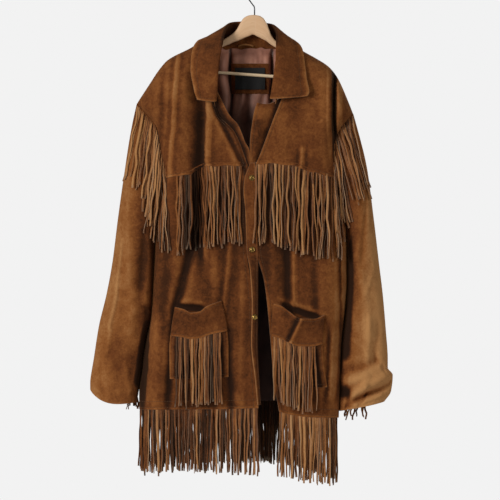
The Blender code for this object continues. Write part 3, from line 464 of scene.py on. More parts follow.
bodyForm = {
    "shoulderTip": {"left": (-282.0, -284.0), "right": (236.0, -308.0)},
    "underarm": {"left": (-237.0, -601.0), "right": (219.0, -601.0)},
    "sideRound": 58.0, "topRound": 62.0, "armholeDepth": 27.0,
    "hide": 2.0, "raw": 0.45, "wear": (-2.4, 1.1),      # thickness, paleness of cut edges, range of the wear and painted light and shade
    # waver of the folds and unevenness of the wall: size of the patches, millimetres, seed
    "waver": ((75, 2.4, 3), (24, 0.8, 4)), "uneven": ((42, 0.9, 11), (15, 0.45, 12)),
    # line over both shoulders: x, z
    "shoulderLine": [
        (-282, -284), (-252, -238), (-228, -202), (-208, -180), (-155, -152), (-131, -138),
        (-95, -124), (-60, -98), (0, -84), (45, -98), (70, -126), (109, -155), (150, -178),
        (175, -194), (192, -212), (204, -232), (220, -268), (236, -308)],
    # edge of the body below each shoulder: z, x
    "sideEdge": {
        "left": [(-284, -282), (-347, -233), (-399, -224), (-459, -213), (-529, -226), (-601, -237),
                 (-683, -242), (-797, -248), (-850, -259), (-898, -267), (-920, -269), (-980, -277),
                 (-1020, -277)],
        "right": [(-308, 236), (-344, 206), (-366, 196), (-409, 191), (-459, 191), (-529, 204),
                  (-601, 221), (-709, 222), (-780, 217), (-816, 213), (-863, 208), (-930, 205),
                  (-1045, 202)]},
    # depth: z, in front of the middle plane, behind it
    "depth": [
        (-120, 22, 22), (-160, 36, 28), (-200, 46, 33), (-260, 54, 40), (-320, 58, 43),
        (-450, 60, 45), (-650, 58, 43), (-800, 55, 41), (-920, 52, 39), (-1050, 48, 37)],
}
# folds of each face: x and z at the top, at the bottom, width, out or in, lean to one side
bodyFolds = {
    "front": [
        (-117, -258, -121, -560, 13, 4.5, 0.6), (-123, -258, -129, -590, 17, -22, -0.7),
        (-189, -195, -204, -420, 5.5, 2.8, 0.5), (190.5, -214, 191, -345, 5.5, -34, 0),
        (205, -640, 206, -820, 2.6, -6, 0), (112, -400, 111, -430, 4, 3.2, 0.3),
        (66, -340, 72, -560, 24, 2.5, 0), (-152, -615, -179, -745, 13, -9.5, 0),
        (-193, -800, -205, -970, 10, -6, 0), (-258, -850, -265, -960, 8, -18, 0),
        (206, -840, 200, -960, 6, -4, 0), (77, -620, 80, -765, 13, -6.5, 0),
        (96, -620, 96, -760, 2.6, 2.6, 0), (143, -630, 146, -765, 12, -3.2, 0),
        (-60, -870, -58, -1030, 9, -4, 0), (-235, -820, -240, -1030, 18, 5, 0),
        (-166, -773, -136, -776, 7.5, -9, 0), (88, -776, 138, -794, 7.5, -9, 0),
        (-165, -190, -172, -300, 11, 1, 0), (-222, -250, -226, -400, 8, -2, 0),
        (160, -250, 166, -420, 9, 1, 0), (-100, -640, -96, -740, 14, 3, 0),
        (-59, -620, -72, -745, 5, 2.2, 0.3), (-86, -316, -36, -420, 7.5, -4.5, 0),
        (-210, -640, -214, -800, 12, -1.5, 0), (40, -560, 44, -700, 12, 2.8, 0),
        (124, -560, 126, -720, 14, -1.5, 0), (176, -860, 172, -960, 6, -4, 0),
        (20, -860, 74, -1000, 12, 2.5, 0), (-110, -960, -100, -1020, 12, -2.5, 0),
        (-30, -700, -34, -1000, 10, 2, 0)],
    "back": [
        (-120, -420, -150, -900, 24, 8, 0), (-30, -300, -40, -760, 26, -7, 0),
        (70, -450, 90, -980, 24, 8, 0), (150, -330, 165, -700, 16, -6, 0),
        (-200, -360, -205, -640, 16, -6, 0), (-60, -180, -66, -420, 12, 2.2, 0),
        (40, -200, 50, -480, 12, -2.4, 0), (-170, -700, -150, -990, 15, -4, 0),
        (10, -760, 4, -980, 14, 3.5, 0), (180, -640, 170, -960, 13, 3.5, 0),
        (-240, -560, -236, -860, 12, -3, 0)],
}
foldFade = 55.0      # how far a fold runs out past its ends
# how folds change the tone, ridges rubbed paler and painted shade in the troughs: distance compared, effect
# of the ridge over what is round it, effect of its height
foldWearAndShading = {"step": 11.0, "ridge": 0.55, "height": 0.045}
# nap brushed darker or paler, painted shade under the yoke fringe, above the pocket mouths, beside the left
# facing and in the right yoke's groove, and painted light on the right side flap and along one ridge; on each
# face: x, z, half width, half height, amount
napAndShadingPatches = {
    "front": [
        (-70, -545, 100, 85, -1.5), (90, -545, 95, 90, -1.5), (-138, -975, 45, 30, -0.8),
        (100, -985, 45, 30, -0.8), (-95, -665, 42, 45, 0.2), (-95, -745, 40, 35, -0.5),
        (-215, -740, 30, 160, -0.5), (-140, -985, 120, 60, -0.4), (-258, -920, 22, 120, -0.7),
        (-45, -930, 30, 80, -0.3), (48, -715, 22, 70, -0.5), (-150, -776, 20, 9, -2),
        (92, -784, 18, 9, -1.8), (130, -794, 22, 9, -1.8), (130, -1000, 90, 50, -0.1),
        (-138, -541, 22, 95, -1.6), (192, -740, 26, 170, 0.8), (212, -730, 6, 130, 1.2),
        (196, -960, 22, 90, 0.9), (-134, -360, 12, 120, -0.4), (-104, -400, 8, 150, -0.6),
        (-117, -380, 3, 130, 0.8), (95, -315, 25, 40, -0.35), (-62, -345, 14, 60, -0.5),
        (192, -290, 7, 75, -1.8), (181, -280, 7, 90, -1.1)],
    "back": [(60, -500, 90, 160, -0.4), (-120, -800, 80, 120, 0.3)],
}


def quarter(share):
    share = np.clip(share, 0, 1)
    return np.sqrt(np.maximum(0.0, 1 - (1 - share) ** 2))


def shoulderZ(x):
    return tableAt(bodyForm["shoulderLine"], x)[..., 0]


def sideX(side, z):
    return tableAt(bodyForm["sideEdge"][side], z)[..., 0]


def edgeDepth(side, z):
    top, low = bodyForm["shoulderTip"][side][1], bodyForm["underarm"][side][1]
    share = (top - z) / (top - low)
    curve = np.maximum(np.sin(math.pi * np.clip(share, 0, 1)), 0) ** 0.75
    return np.where((share > 0) & (share < 1), bodyForm["armholeDepth"] * curve, 0)


def uneven(x, z, layers):
    return sum(amount * softNoise(x, z, size, seed) for size, amount, seed in layers)


def foldsAt(face, x, z):
    waver = x + uneven(x, z, bodyForm["waver"])
    total = np.zeros_like(x)
    for x0, z0, x1, z1, width, out, lean in bodyFolds[face]:
        reach = math.hypot(x1 - x0, z1 - z0)
        share = ((waver - x0) * (x1 - x0) + (z - z0) * (z1 - z0)) / reach**2
        off = ((waver - x0) * (z0 - z1) + (z - z0) * (x1 - x0)) / reach
        past = np.maximum(np.maximum(-share, share - 1), 0) * reach / min(foldFade, 0.35 * reach + 4)
        total += out * bell(off, width * (1 + lean * np.tanh(2.5 * off / width))) * bell(past, 1)
    return total


def bodyOut(face, x, z):
    # how far the front or back wall stands off the middle plane at x, z
    deep = tableAt(bodyForm["depth"], z)[..., 0 if face == "front" else 1]
    over = quarter((shoulderZ(x) - z) / bodyForm["topRound"])
    turns, edges = np.ones_like(x), np.zeros_like(x)
    for side in sides:
        turn = quarter(-outward[side] * (x - sideX(side, z)) / bodyForm["sideRound"])
        turns = turns * turn
        edges = edges + edgeDepth(side, z) * (1 - turn)
    return over * (deep + foldsAt(face, x, z) + uneven(x, z, bodyForm["uneven"])) * turns + edges


def rubAndShadingAt(face, x, z):
    # about 1 on the ridges, where the nap is rubbed pale, and -1 in the troughs as painted shade, plus the
    # nap patches with their painted shade and light
    step, middle = foldWearAndShading["step"], foldsAt(face, x, z)
    around = (foldsAt(face, x + step, z) + foldsAt(face, x - step, z)
              + foldsAt(face, x, z + step) + foldsAt(face, x, z - step)) / 4
    brushed = sum(amount * bell(np.hypot((x - x0) / wide, (z - z0) / high), 1)
                  for x0, z0, wide, high, amount in napAndShadingPatches[face])
    folded = (middle - around) * foldWearAndShading["ridge"] + middle * foldWearAndShading["height"]
    return np.clip(folded, -1.2, 1) + np.clip(brushed, -2, 1.2)


def bodyPanel(face, flat, raised):
    # a panel on the body's wall over flat x, z places; raised stands it off
    x, z = flat[..., 0], flat[..., 1]
    sign = -1 if face == "front" else 1
    return np.stack([x, sign * np.maximum(bodyOut(face, x, z) + raised, bodyForm["hide"] / 2), z], -1)


def puckers(x, z, low, form, seed):
    # small waves of the hide along a row of stitches
    height, pitch, patch, place, width = form
    return height * np.sin(x / pitch + 3 * softNoise(x, z, patch, seed)) * bell(low - place, width)


def shoulderRun(x0, x1, shares):
    xs = x0 + (x1 - x0) * shares
    return np.stack([xs, shoulderZ(xs)], -1)


def outerEdge(side, top, low, shares):
    z = top + (low - top) * shares
    return np.stack([sideX(side, z), z], -1)


def coons(us, vs, top, bottom, inner, outer):
    u, v = us[:, None, None], vs[None, :, None]
    edges = (1 - v) * top[:, None] + v * bottom[:, None] + (1 - u) * inner[None] + u * outer[None]
    corners = ((1 - u) * (1 - v) * top[0] + u * (1 - v) * top[-1]
               + (1 - u) * v * bottom[0] + u * v * bottom[-1])
    return edges - corners


def fromEnds(us, vs, flat):
    # distance in millimetres from a patch's inner edge, outer edge, top and bottom
    across = np.linalg.norm(np.diff(flat, axis=0), axis=2).sum(axis=0)[None, :]
    down = np.linalg.norm(np.diff(flat, axis=1), axis=2).sum(axis=1)[:, None]
    return us[:, None] * across, (1 - us[:, None]) * across, vs[None, :] * down, (1 - vs[None, :]) * down


yokes = {
    "inner": {
        "left": [(-95, -124), (-99, -180), (-103, -240), (-98, -276), (-84, -318), (-68, -333), (-52, -349),
                 (-37, -378), (-28, -402), (-17, -434)],
        "right": [(81, -134), (79, -180), (76, -240), (66, -272), (46, -322), (28, -370), (12, -412),
                  (3, -431)]},
    "seam": {
        "left": [(-17, -434), (-70, -435), (-117, -437), (-140, -446), (-157, -456), (-185, -460),
                 (-213, -462)],
        "right": [(3, -431), (42, -430), (94, -436), (127, -447), (155, -454), (191, -462)]},
    "across": 200, "down": 300, "cells": (3.0, 3.0),
    "edgeLift": 3.2, "inLift": {"left": -3.0, "right": 0.8}, "stitchIn": 7.6, "grooves": (0.9, 0.7),
    # puckers: height, pitch, size of uneven patches, distance from the edge, width
    "puckers": (0.5, 1.45, 12, 9, 7), "scallop": 1.3, "scallopPitch": 9.0,
    "worn": 0.25, "edgesWorn": (0.5, 0.35), "foldDark": {"left": 1.2, "right": 0.0},
}


def makeYoke(side):
    inner, seam = yokes["inner"][side], yokes["seam"][side]
    tip = bodyForm["shoulderTip"][side]
    us, vs = patchSteps(yokes, endRound=bodyForm["sideRound"], topRound=bodyForm["topRound"])
    flat = coons(us, vs, shoulderRun(inner[0][0], tip[0], us), alongPath(seam, us), alongPath(inner, vs),
                 outerEdge(side, tip[1], seam[-1][1], vs))
    inEdge, _, _, low = fromEnds(us, vs, flat)
    x = flat[..., 0]
    scallops = np.sin(x / yokes["scallopPitch"] + 2 * softNoise(x, x * 0, 30, 5))
    flat[..., 1] -= yokes["scallop"] * scallops * bell(low, 9)
    raised = yokes["edgeLift"] * bell(low, 11) + yokes["inLift"][side] * bell(inEdge, 6)
    for distance, deep in zip((low, inEdge), yokes["grooves"]):
        raised -= deep * bell(distance - yokes["stitchIn"], 1.8)
    raised += puckers(x, flat[..., 1], low, yokes["puckers"], 6)
    lowWorn, inWorn = yokes["edgesWorn"]
    rub = rubAndShadingAt("front", x, flat[..., 1]) + yokes["worn"]
    rub += lowWorn * bell(low - 2, 3) + inWorn * bell(inEdge - 1, 2)
    # painted shade along the yoke's inner edge beside the deep fold
    rub -= yokes["foldDark"][side] * bell(inEdge - 3, 6)
    piece = clothPiece(f"yoke_{side}", bodyPanel("front", flat, raised), bodyForm["hide"],
                       np.clip(rub, *bodyForm["wear"]), bodyForm["raw"], ("top", "last"))
    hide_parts(f"yoke_{side}")
    sew(piece, bodyForm["hide"], [("row", -8, 0, 0.98), ("column", 7, 0.1, 1)])
    return piece


fronts = {
    "edge": {
        "left": [(-17, -434), (-19, -520), (-18, -640), (-4, -750), (0, -858), (5, -951), (9, -1016)],
        "right": [(3, -431), (4, -520), (6, -640), (23, -709), (31, -770), (38, -846), (47, -949),
                  (59, -1024)]},
    "hem": {
        "left": [(9, -1016), (-60, -1018), (-140, -1019), (-277, -1020)],
        "right": [(59, -1024), (87, -1032), (136, -1038), (202, -1040)]},
    "across": 230, "down": 585, "cells": (3.0, 3.0), "hemStitches": (5.2, 19.0), "edgeStitch": 9.0,
    "grooves": (0.8, 0.7), "puckers": (0.5, 1.6, 14, 12, 9), "worn": 0.4,
}


def makeFront(side):
    seam, hem = yokes["seam"][side], fronts["hem"][side]
    us, vs = patchSteps(fronts, endRound=bodyForm["sideRound"])
    flat = coons(us, vs, alongPath(seam, us), alongPath(hem, us), alongPath(fronts["edge"][side], vs),
                 outerEdge(side, seam[-1][1], hem[-1][1], vs))
    inEdge, _, _, low = fromEnds(us, vs, flat)
    x, z = flat[..., 0], flat[..., 1]
    hemDeep, edgeDeep = fronts["grooves"]
    raised = -edgeDeep * bell(inEdge - fronts["edgeStitch"], 2.0)
    for place in fronts["hemStitches"]:
        raised -= hemDeep * bell(low - place, 2.0)
    raised += puckers(x, z, low, fronts["puckers"], 7)
    rub = rubAndShadingAt("front", x, z) + fronts["worn"] * bell(low - 2, 3) + fronts["worn"] * bell(inEdge - 2, 3)
    piece = clothPiece(f"front_{side}", bodyPanel("front", flat, raised), bodyForm["hide"],
                       np.clip(rub, *bodyForm["wear"]), bodyForm["raw"], ("top", "last"))
    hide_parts(f"front_{side}")
    rows = [nearest(vs, fronts["down"], fronts["down"] - place) for place in fronts["hemStitches"]]
    sew(piece, bodyForm["hide"], [("row", row, 0, 0.97) for row in rows] + [("column", 8, 0.02, 1)])
    return piece


backPanel = {
    "hem": [(-277, -1016), (-150, -998), (0, -990), (120, -1006), (202, -1036)],
    "neck": [(-95, -124), (-86, -141), (-60, -151), (-6, -156), (46, -155), (68, -148), (81, -134)],
    "across": 560, "down": 740, "cells": (4.2, 4.2), "hemStitches": (5.2, 19.0), "groove": 0.8,
    "puckers": (0.5, 1.6, 14, 12, 9), "folds": 0.45, "worn": 0.4,
}


def makeBack():
    line, neck = bodyForm["shoulderLine"], backPanel["neck"]
    top = [p for p in line if p[0] < neck[0][0]] + neck + [p for p in line if p[0] > neck[-1][0]]
    us, vs = patchSteps(backPanel, bodyForm["sideRound"], bodyForm["sideRound"], bodyForm["topRound"])
    hem = backPanel["hem"]
    flat = coons(us, vs, alongPath(top, us), alongPath(hem, us),
                 outerEdge("left", bodyForm["shoulderTip"]["left"][1], hem[0][1], vs),
                 outerEdge("right", bodyForm["shoulderTip"]["right"][1], hem[-1][1], vs))
    _, _, _, low = fromEnds(us, vs, flat)
    x, z = flat[..., 0], flat[..., 1]
    raised = sum(-backPanel["groove"] * bell(low - place, 2.0) for place in backPanel["hemStitches"])
    raised = raised + puckers(x, z, low, backPanel["puckers"], 8)
    rub = backPanel["folds"] * rubAndShadingAt("back", x, z) + backPanel["worn"] * bell(low - 2, 3)
    piece = clothPiece("back_panel", bodyPanel("back", flat, raised), bodyForm["hide"],
                       np.clip(rub, *bodyForm["wear"]), bodyForm["raw"], ("top", "first", "last"))
    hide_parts("back")
    rows = [nearest(vs, backPanel["down"], backPanel["down"] - place) for place in backPanel["hemStitches"]]
    sew(piece, bodyForm["hide"], [("row", row, 0.03, 0.97) for row in rows], "back")
    return piece


facings = {
    "free": {
        "left": [(-89, -258), (-76, -284), (-64, -308), (-57, -318), (-40, -337), (-30, -359), (-23, -378),
                 (-13, -397), (-9, -432)],
        "right": [(6, -284), (-1, -306), (-6, -337), (-10, -368), (-11, -397), (-9, -432)]},
    "hidden": {
        "left": [(-108, -262), (-102, -292), (-92, -322), (-78, -340), (-62, -357), (-47, -384),
                 (-38, -408), (-26, -434)],
        "right": [(72, -262), (58, -318), (40, -366), (22, -404), (6, -426)]},
    "across": 60, "down": 170, "cells": (2.5, 2.5), "hide": 1.6,
    "dip": {"left": 0.0, "right": 12.0}, "behind": 2.8,
    # how far its free edge rolls forward, and in what curve; how deep it sinks beside the front's edge
    "roll": {"left": (5.0, 2), "right": (1.5, 1)}, "groove": {"left": 5.0, "right": 9.0}, "stitchIn": 8,
    "worn": 0.5, "uneven": 0.4,
    # painted shade in the groove: middle and reach as shares of the width, and how dark
    "dark": {"left": (0.6, 0.3, 2.4), "right": (0.82, 0.16, 1.8)},
}


def makeFacing(side):
    us, vs = patchSteps(facings)
    free, hidden = alongPath(facings["free"][side], vs), alongPath(facings["hidden"][side], vs)
    flat = (1 - us[:, None, None]) * free[None] + us[:, None, None] * hidden[None]
    u, v = us[:, None], vs[None, :]
    flat[..., 1] -= facings["dip"][side] * np.sin(math.pi * u) * (1 - v) ** 3
    forward, curve = facings["roll"][side]
    roll = forward * (1 - u) ** curve * np.sin(math.pi * v)
    fromFree, _, _, _ = fromEnds(us, vs, flat)
    sink = facings["groove"][side] * smoothStep(np.clip((u - 0.25) / 0.5, 0, 1)) * np.sin(math.pi * v) ** 0.5
    x, z = flat[..., 0], flat[..., 1]
    sink = sink + 0.5 * bell(fromFree - facings["stitchIn"], 1.8)
    y = -bodyOut("front", x, z) + facings["behind"] - roll + sink
    rub = facings["worn"] * bell(fromFree, 4) + facings["uneven"] * softNoise(x, z, 25, 21)
    # painted shade in the groove where the facing sinks under the front's edge
    middle, reach, dark = facings["dark"][side]
    rub = rub - dark * bell((u - middle) / reach, 1)
    piece = clothPiece(f"facing_{side}", np.stack([x, y, z], -1), facings["hide"], np.clip(rub, -1.6, 1))
    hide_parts(f"facing_{side}")
    sew(piece, facings["hide"], [("column", 7, 0, 1)])
    return piece


def betweenEdges(edges, us, vs):
    # x and z over a strip whose edges are rows of z, left x, right x
    z = edges[0][0] + (edges[-1][0] - edges[0][0]) * vs
    left, right = tableAt(edges, z).T
    x = left + (right - left) * us[:, None]
    return x, np.broadcast_to(z, x.shape)


lining = {
    # z, left x, right x
    "edges": [(-151.5, -84, 62), (-200, -118, 92), (-300, -150, 130), (-500, -160, 140), (-700, -170, 150),
              (-1000, -184, 140)],
    "inset": 6.5, "sewn": 5.6, "sewnDrop": 70.0, "thick": 0.8,
    # wrinkles: x and z at the top, at the bottom, width, in or out
    "wrinkles": [(-57, -165, -60, -310, 5, -19), (-78, -170, -70, -320, 10, 6), (40, -170, 42, -270, 5, -18),
                 (20, -250, 14, -400, 12, 4), (-14, -270, -16, -420, 10, -7), (60, -180, 58, -300, 8, 5),
                 (-94, -200, -88, -340, 6, -10), (-30, -262, -46, -330, 8, 6), (26, -262, 8, -330, 8, -6)],
    "across": 260, "down": 850, "cells": (3.6, 5.2), "pucker": 1.8, "puckerPitch": 11.0, "puckerRun": 22,
    "loose": 16.0, "looseFrom": 32, "fadeEnd": 410.0, "fadeRun": 180,
}


def makeLining():
    us, vs = patchSteps(lining)
    x, z = betweenEdges(lining["edges"], us, vs)
    fromNeck = lining["edges"][0][0] - z
    sewn = np.clip(1 - fromNeck / lining["sewnDrop"], 0, 1)
    inset = lining["inset"] + (lining["sewn"] - lining["inset"]) * sewn
    waver = x + 5 * softNoise(x, z, 50, 31)
    loose = np.zeros_like(x)
    for x0, z0, x1, z1, width, out in lining["wrinkles"]:
        centre = x0 + (x1 - x0) * np.clip((z - z0) / (z1 - z0), -0.2, 1.2)
        past = np.maximum(np.maximum(z - z0, z1 - z), 0) / 40
        loose += out * bell(waver - centre, width) * bell(past, 1)
    puckered = np.sin(2 * math.pi * waver / lining["puckerPitch"]) * np.exp(-fromNeck / lining["puckerRun"])
    loose += lining["pucker"] * puckered + 1.1 * softNoise(x, z * 0.35, 22, 32)
    room = smoothStep(np.clip(fromNeck / lining["looseFrom"], 0, 1))
    y = bodyOut("back", x, z) - inset - np.maximum(lining["loose"] + loose, 0) * room
    z = z + 4.0 * softNoise(x, x * 0, 12, 33) * np.clip(1 - fromNeck / 14, 0, 1)
    # painted light: paler towards the neck, but not down in its wrinkles, which keep the darker tones as
    # painted shade
    paintedLight = np.clip((z + lining["fadeEnd"]) / lining["fadeRun"], 0, 1)
    paintedLight = paintedLight * np.clip(1 + np.minimum(loose + 3, 0) / 9, 0, 1)
    piece = clothPiece("lining_back", np.stack([x, y, z], -1), lining["thick"], paintedLight, raw=1.0,
                       material=liningSatin)
    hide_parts("lining_back")
    return piece


sleeves = {
    # place along the sleeve, outer x and z, inner x and z, half depth
    "form": {
        "left": [(0.00, -282, -284, -237, -601, 30), (0.10, -296, -345, -237, -618, 34),
                 (0.22, -311, -440, -237, -640, 37), (0.36, -328, -560, -238, -680, 38),
                 (0.50, -342, -670, -240, -742, 37), (0.62, -356, -745, -242, -786, 35),
                 (0.73, -374, -820, -250, -846, 34), (0.84, -386, -896, -262, -910, 34),
                 (0.93, -395, -955, -278, -968, 33), (1.00, -395, -972, -285, -1003, 33)],
        "right": [(0.00, 236, -308, 219, -601, 30), (0.10, 251, -360, 219, -618, 33),
                  (0.22, 270, -440, 219, -640, 36), (0.36, 286, -560, 219, -680, 38),
                  (0.50, 299, -670, 217, -742, 37), (0.62, 308, -745, 212, -790, 36),
                  (0.73, 315, -826, 205, -850, 35), (0.84, 320, -900, 200, -912, 34),
                  (0.875, 320, -921, 200, -935, 34), (0.90, 332, -938, 200, -955, 34),
                  (0.95, 328, -976, 200, -990, 34), (1.00, 312, -1001, 204, -1024, 33)]},
    "around": 400, "down": 640, "columns": 96, "cell": 3.4,
    "snug": 1.8, "offset": 1.0, "cuffSag": {"left": 20.0, "right": 2.0}, "cuffStitch": 22.0, "groove": 0.8,
    # uneven patches: size, millimetres, seed; puckers of the cuff: height, waves, place, width
    "uneven": ((40, 0.8, 42), (14, 0.4, 43)), "puckers": (0.5, 220, 14, 10),
    "waver": 0.012, "cuffRun": 0.14, "holeRun": 0.16, "relief": 0.12, "cuffWorn": 0.4, "dark": 3.5,
    # painted shade where the sleeve meets the body, between these places along it
    "shaded": {"left": ((0.66, 0.93),), "right": ((0.22, 0.83), (0.91, 0.955))},
    "shadeEdge": {"left": (0.86, 0.08), "right": (0.77, 0.13)},
    "worn": {"left": (0.0, 0.75), "right": (-0.1, 1.8)},      # paler from the shoulder to the cuff, partly rubbed nap and partly painted light
    "tilt": {"left": (2.0, 0.8), "right": (3.0, 3.0)},        # and paler towards the outer side, painted light
    # creases: turn and place at one end, at the other, width, out or in; turn 0.25 is the front
    "creases": {
        "left": [
            (0.22, 0.4, 0.3, 0.72, 0.04, 3), (0.315, 0.28, 0.325, 0.5, 0.03, -5),
            (0.395, 0.32, 0.395, 0.56, 0.03, 5.5), (0.16, 0.8, 0.36, 0.84, 0.03, -2.5),
            (0.7, 0.4, 0.8, 0.7, 0.035, 5), (0.3, 0.5, 0.18, 0.6, 0.02, -1.2),
            (0.4, 0.56, 0.28, 0.66, 0.02, 2.5), (0.12, 0.2, 0.22, 0.5, 0.03, 2.5),
            (0.38, 0.76, 0.2, 0.84, 0.022, 2.5), (0.16, 0.82, 0.34, 0.9, 0.022, -2.5),
            (0.66, 0.5, 0.84, 0.6, 0.025, -3), (0.62, 0.7, 0.8, 0.78, 0.025, 3),
            (0.86, 0.25, 0.78, 0.5, 0.03, -3), (0.135, 0.42, 0.15, 0.72, 0.014, 6),
            (0.165, 0.74, 0.155, 0.81, 0.014, 5), (0.35, 0.612, 0.5, 0.6, 0.009, -3),
            (0.4, 0.645, 0.48, 0.7, 0.025, -5), (0.45, 0.72, 0.46, 0.92, 0.026, -18),
            (0.3, 0.86, 0.36, 0.94, 0.018, 4), (0.12, 0.86, 0.18, 0.95, 0.018, -3)],
        "right": [
            (0.3, 0.38, 0.2, 0.7, 0.035, 4), (0.14, 0.28, 0.26, 0.42, 0.03, -3),
            (0.04, 0.89, 0.26, 0.925, 0.016, 13), (0.06, 0.922, 0.25, 0.95, 0.013, -15),
            (0.26, 0.925, 0.34, 0.955, 0.013, 10), (0.26, 0.955, 0.38, 0.985, 0.012, -11),
            (0.4, 0.965, 0.3, 0.985, 0.011, 6), (0.14, 0.96, 0.24, 0.972, 0.01, 6),
            (0.36, 0.905, 0.24, 0.893, 0.01, 5), (0.46, 0.925, 0.36, 0.945, 0.018, -14),
            (0.4, 0.895, 0.12, 0.87, 0.014, 7), (0.42, 0.872, 0.16, 0.852, 0.016, -7),
            (0.21, 0.7, 0.22, 0.83, 0.022, 5), (0.13, 0.72, 0.16, 0.8, 0.025, -3),
            (0.25, 0.66, 0.24, 0.8, 0.012, 2.5), (0.16, 0.83, 0.1, 0.87, 0.014, -6),
            (0.44, 0.6, 0.455, 0.85, 0.022, -12), (0.7, 0.45, 0.8, 0.72, 0.035, 5),
            (0.38, 0.48, 0.24, 0.56, 0.02, -2), (0.14, 0.5, 0.3, 0.62, 0.022, 2),
            (0.36, 0.66, 0.18, 0.74, 0.022, 2.5), (0.66, 0.52, 0.84, 0.62, 0.025, -3),
            (0.62, 0.72, 0.8, 0.8, 0.025, 3)]},
}


def makeSleeve(side):
    turns = np.linspace(0, 1, sleeves["columns"] + 1)[:-1]
    places = steps(sleeves["down"], sleeves["cell"])
    form = tableAt(sleeves["form"][side], places)
    u, v = np.meshgrid(turns, places, indexing="ij")
    outerX, outerZ, innerX, innerZ, deep = [form[None, :, k] for k in range(5)]
    snug = sideX(side, innerZ) + outward[side] * sleeves["snug"]
    innerX = np.where(outward[side] * (innerX - snug) > 0, innerX, snug)
    angle = 2 * math.pi * u
    share, wave = (1 - np.cos(angle)) / 2, np.sin(angle)
    across, down = u * sleeves["around"], v * sleeves["down"]
    waverU = u + sleeves["waver"] * softNoise(across, down, 60, 41)
    push = np.zeros_like(u)
    for u0, v0, u1, v1, width, out in sleeves["creases"][side]:
        reach = (u1 - u0) ** 2 + (v1 - v0) ** 2
        along = np.clip(((waverU - u0) * (u1 - u0) + (v - v0) * (v1 - v0)) / reach, 0, 1)
        gap = np.hypot(waverU - u0 - along * (u1 - u0), (v - v0 - along * (v1 - v0)) * 0.8)
        push += out * bell(gap, width)
    relief = push.copy()
    push += uneven(across, down, sleeves["uneven"])
    fromCuff = (1 - v) * sleeves["down"]
    push -= sleeves["groove"] * bell(fromCuff - sleeves["cuffStitch"], 2.0)
    height, waves, place, width = sleeves["puckers"]
    push += height * np.sin(u * waves + 3 * softNoise(across, down, 20, 44)) * bell(fromCuff - place, width)
    deep = deep + push * np.minimum(1.0, v * 6)
    y = -np.sign(wave) * np.abs(wave) ** 0.85 * deep
    spot = np.stack([outerX + (innerX - outerX) * share, y, outerZ + (innerZ - outerZ) * share], -1)
    low = smoothStep(np.clip((v - 1 + sleeves["cuffRun"]) / sleeves["cuffRun"], 0, 1))
    spot[..., 2] -= sleeves["cuffSag"][side] * np.sin(math.pi * share**0.7) * low
    tip, arm = bodyForm["shoulderTip"][side], bodyForm["underarm"][side]
    holeZ = tip[1] + (arm[1] - tip[1]) * share
    holeX = sideX(side, holeZ) + outward[side] * sleeves["offset"]
    hole = np.stack([holeX, -edgeDepth(side, holeZ) * np.sign(wave), holeZ - 0.6], -1)
    weight = (np.maximum(0.0, 1 - v / sleeves["holeRun"]) ** 1.6)[..., None]
    grid = spot * (1 - weight) + hole * weight
    # near the armhole the normals are those of a plain ring
    wide = np.stack([outerX - innerX, 0 * outerX, outerZ - innerZ], -1)
    half = np.linalg.norm(wide, axis=2, keepdims=True) / 2
    ring = wide / (2 * half) * np.cos(angle)[..., None] / half
    ring[..., 1] += -np.sin(angle) / form[None, :, 4]
    ring /= np.linalg.norm(ring, axis=2, keepdims=True)
    real = gridNormals(grid, wrap=True)
    real *= np.sign((real * ring).sum(axis=2, keepdims=True))
    even = np.minimum(1, v[..., None] / 0.05)
    normal = real * even + ring * (1 - even)
    normal /= np.linalg.norm(normal, axis=2, keepdims=True)
    # painted light: paler towards the cuff and the outer side; crease ridges paler and troughs darker;
    # painted shade where it meets the body
    atShoulder, atCuff = sleeves["worn"][side]
    worn = atShoulder + (atCuff - atShoulder) * v
    worn = worn + np.interp(v, (0.3, 1), sleeves["tilt"][side]) * (0.5 - share) * np.clip(v / 0.3, 0, 1)
    start, reach = sleeves["shadeEdge"][side]
    inner = np.clip((share - start) / reach, 0, 1)
    dark = sum(inner * np.clip(np.minimum(v - first, last - v) / 0.03, 0, 1)
               for first, last in sleeves["shaded"][side])
    rub = relief * sleeves["relief"] + sleeves["cuffWorn"] * bell(fromCuff - 1, 3) + worn
    rub = np.clip(rub - sleeves["dark"] * dark, -2, 2.3)
    piece = clothPiece(f"sleeve_{side}", grid, bodyForm["hide"], rub, seams=("top",), wrap=True,
                       outwardNormal=normal)
    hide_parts(f"sleeve_{side}")
    return piece


collar = {
    # a section for each row: fold, outer edge and neck seam, each x, y, z
    "sections": [
        (-93, -66, -279, -137, -74, -277, -96, -60, -277),
        (-91, -68, -250, -145, -69, -251, -98, -60, -246),
        (-89, -66, -208, -153, -60, -204, -97, -56, -204),
        (-84, -60, -172, -152, -46, -176, -94, -46, -172),
        (-78, -47, -140, -145, -22, -146, -91, -32, -142),
        (-70, -25, -108, -124, 6, -128, -89, -13, -129),
        (-58, 4, -91, -96, 34, -134, -84, 9, -130),
        (-34, 22, -87, -58, 45, -156, -52, 27.2, -150.0),
        (-6, 27, -88, -6, 49, -165, -6, 27.8, -154.8),
        (22, 24, -90, 44, 47, -160, 32, 27.4, -154.0),
        (44, 6, -95, 78, 36, -140, 67, 10, -136),
        (53, -20, -112, 100, 8, -136, 73, -12, -137),
        (54, -43, -144, 116, -20, -158, 68, -31, -150),
        (53, -56, -180, 121, -44, -192, 64, -44, -182),
        (50, -64, -213, 125, -60, -226, 62, -54, -212),
        (46, -67, -246, 131, -67, -256, 58, -58, -243),
        (42, -68, -272, 127, -70, -268, 50, -61, -270)],
    "across": 620, "down": 110, "cells": (3.2, 2.6), "thick": 2.8, "stitchIn": 9.0, "groove": 0.8,
    "rootDrop": 17.0, "curl": (24.0, 5.0), "uneven": 0.9,
    # paler nap along the outer edge, the front ends and the fold, and painted shade on the stand
    "worn": (1.0, 0.8, 0.4), "standDark": 1.1,
}


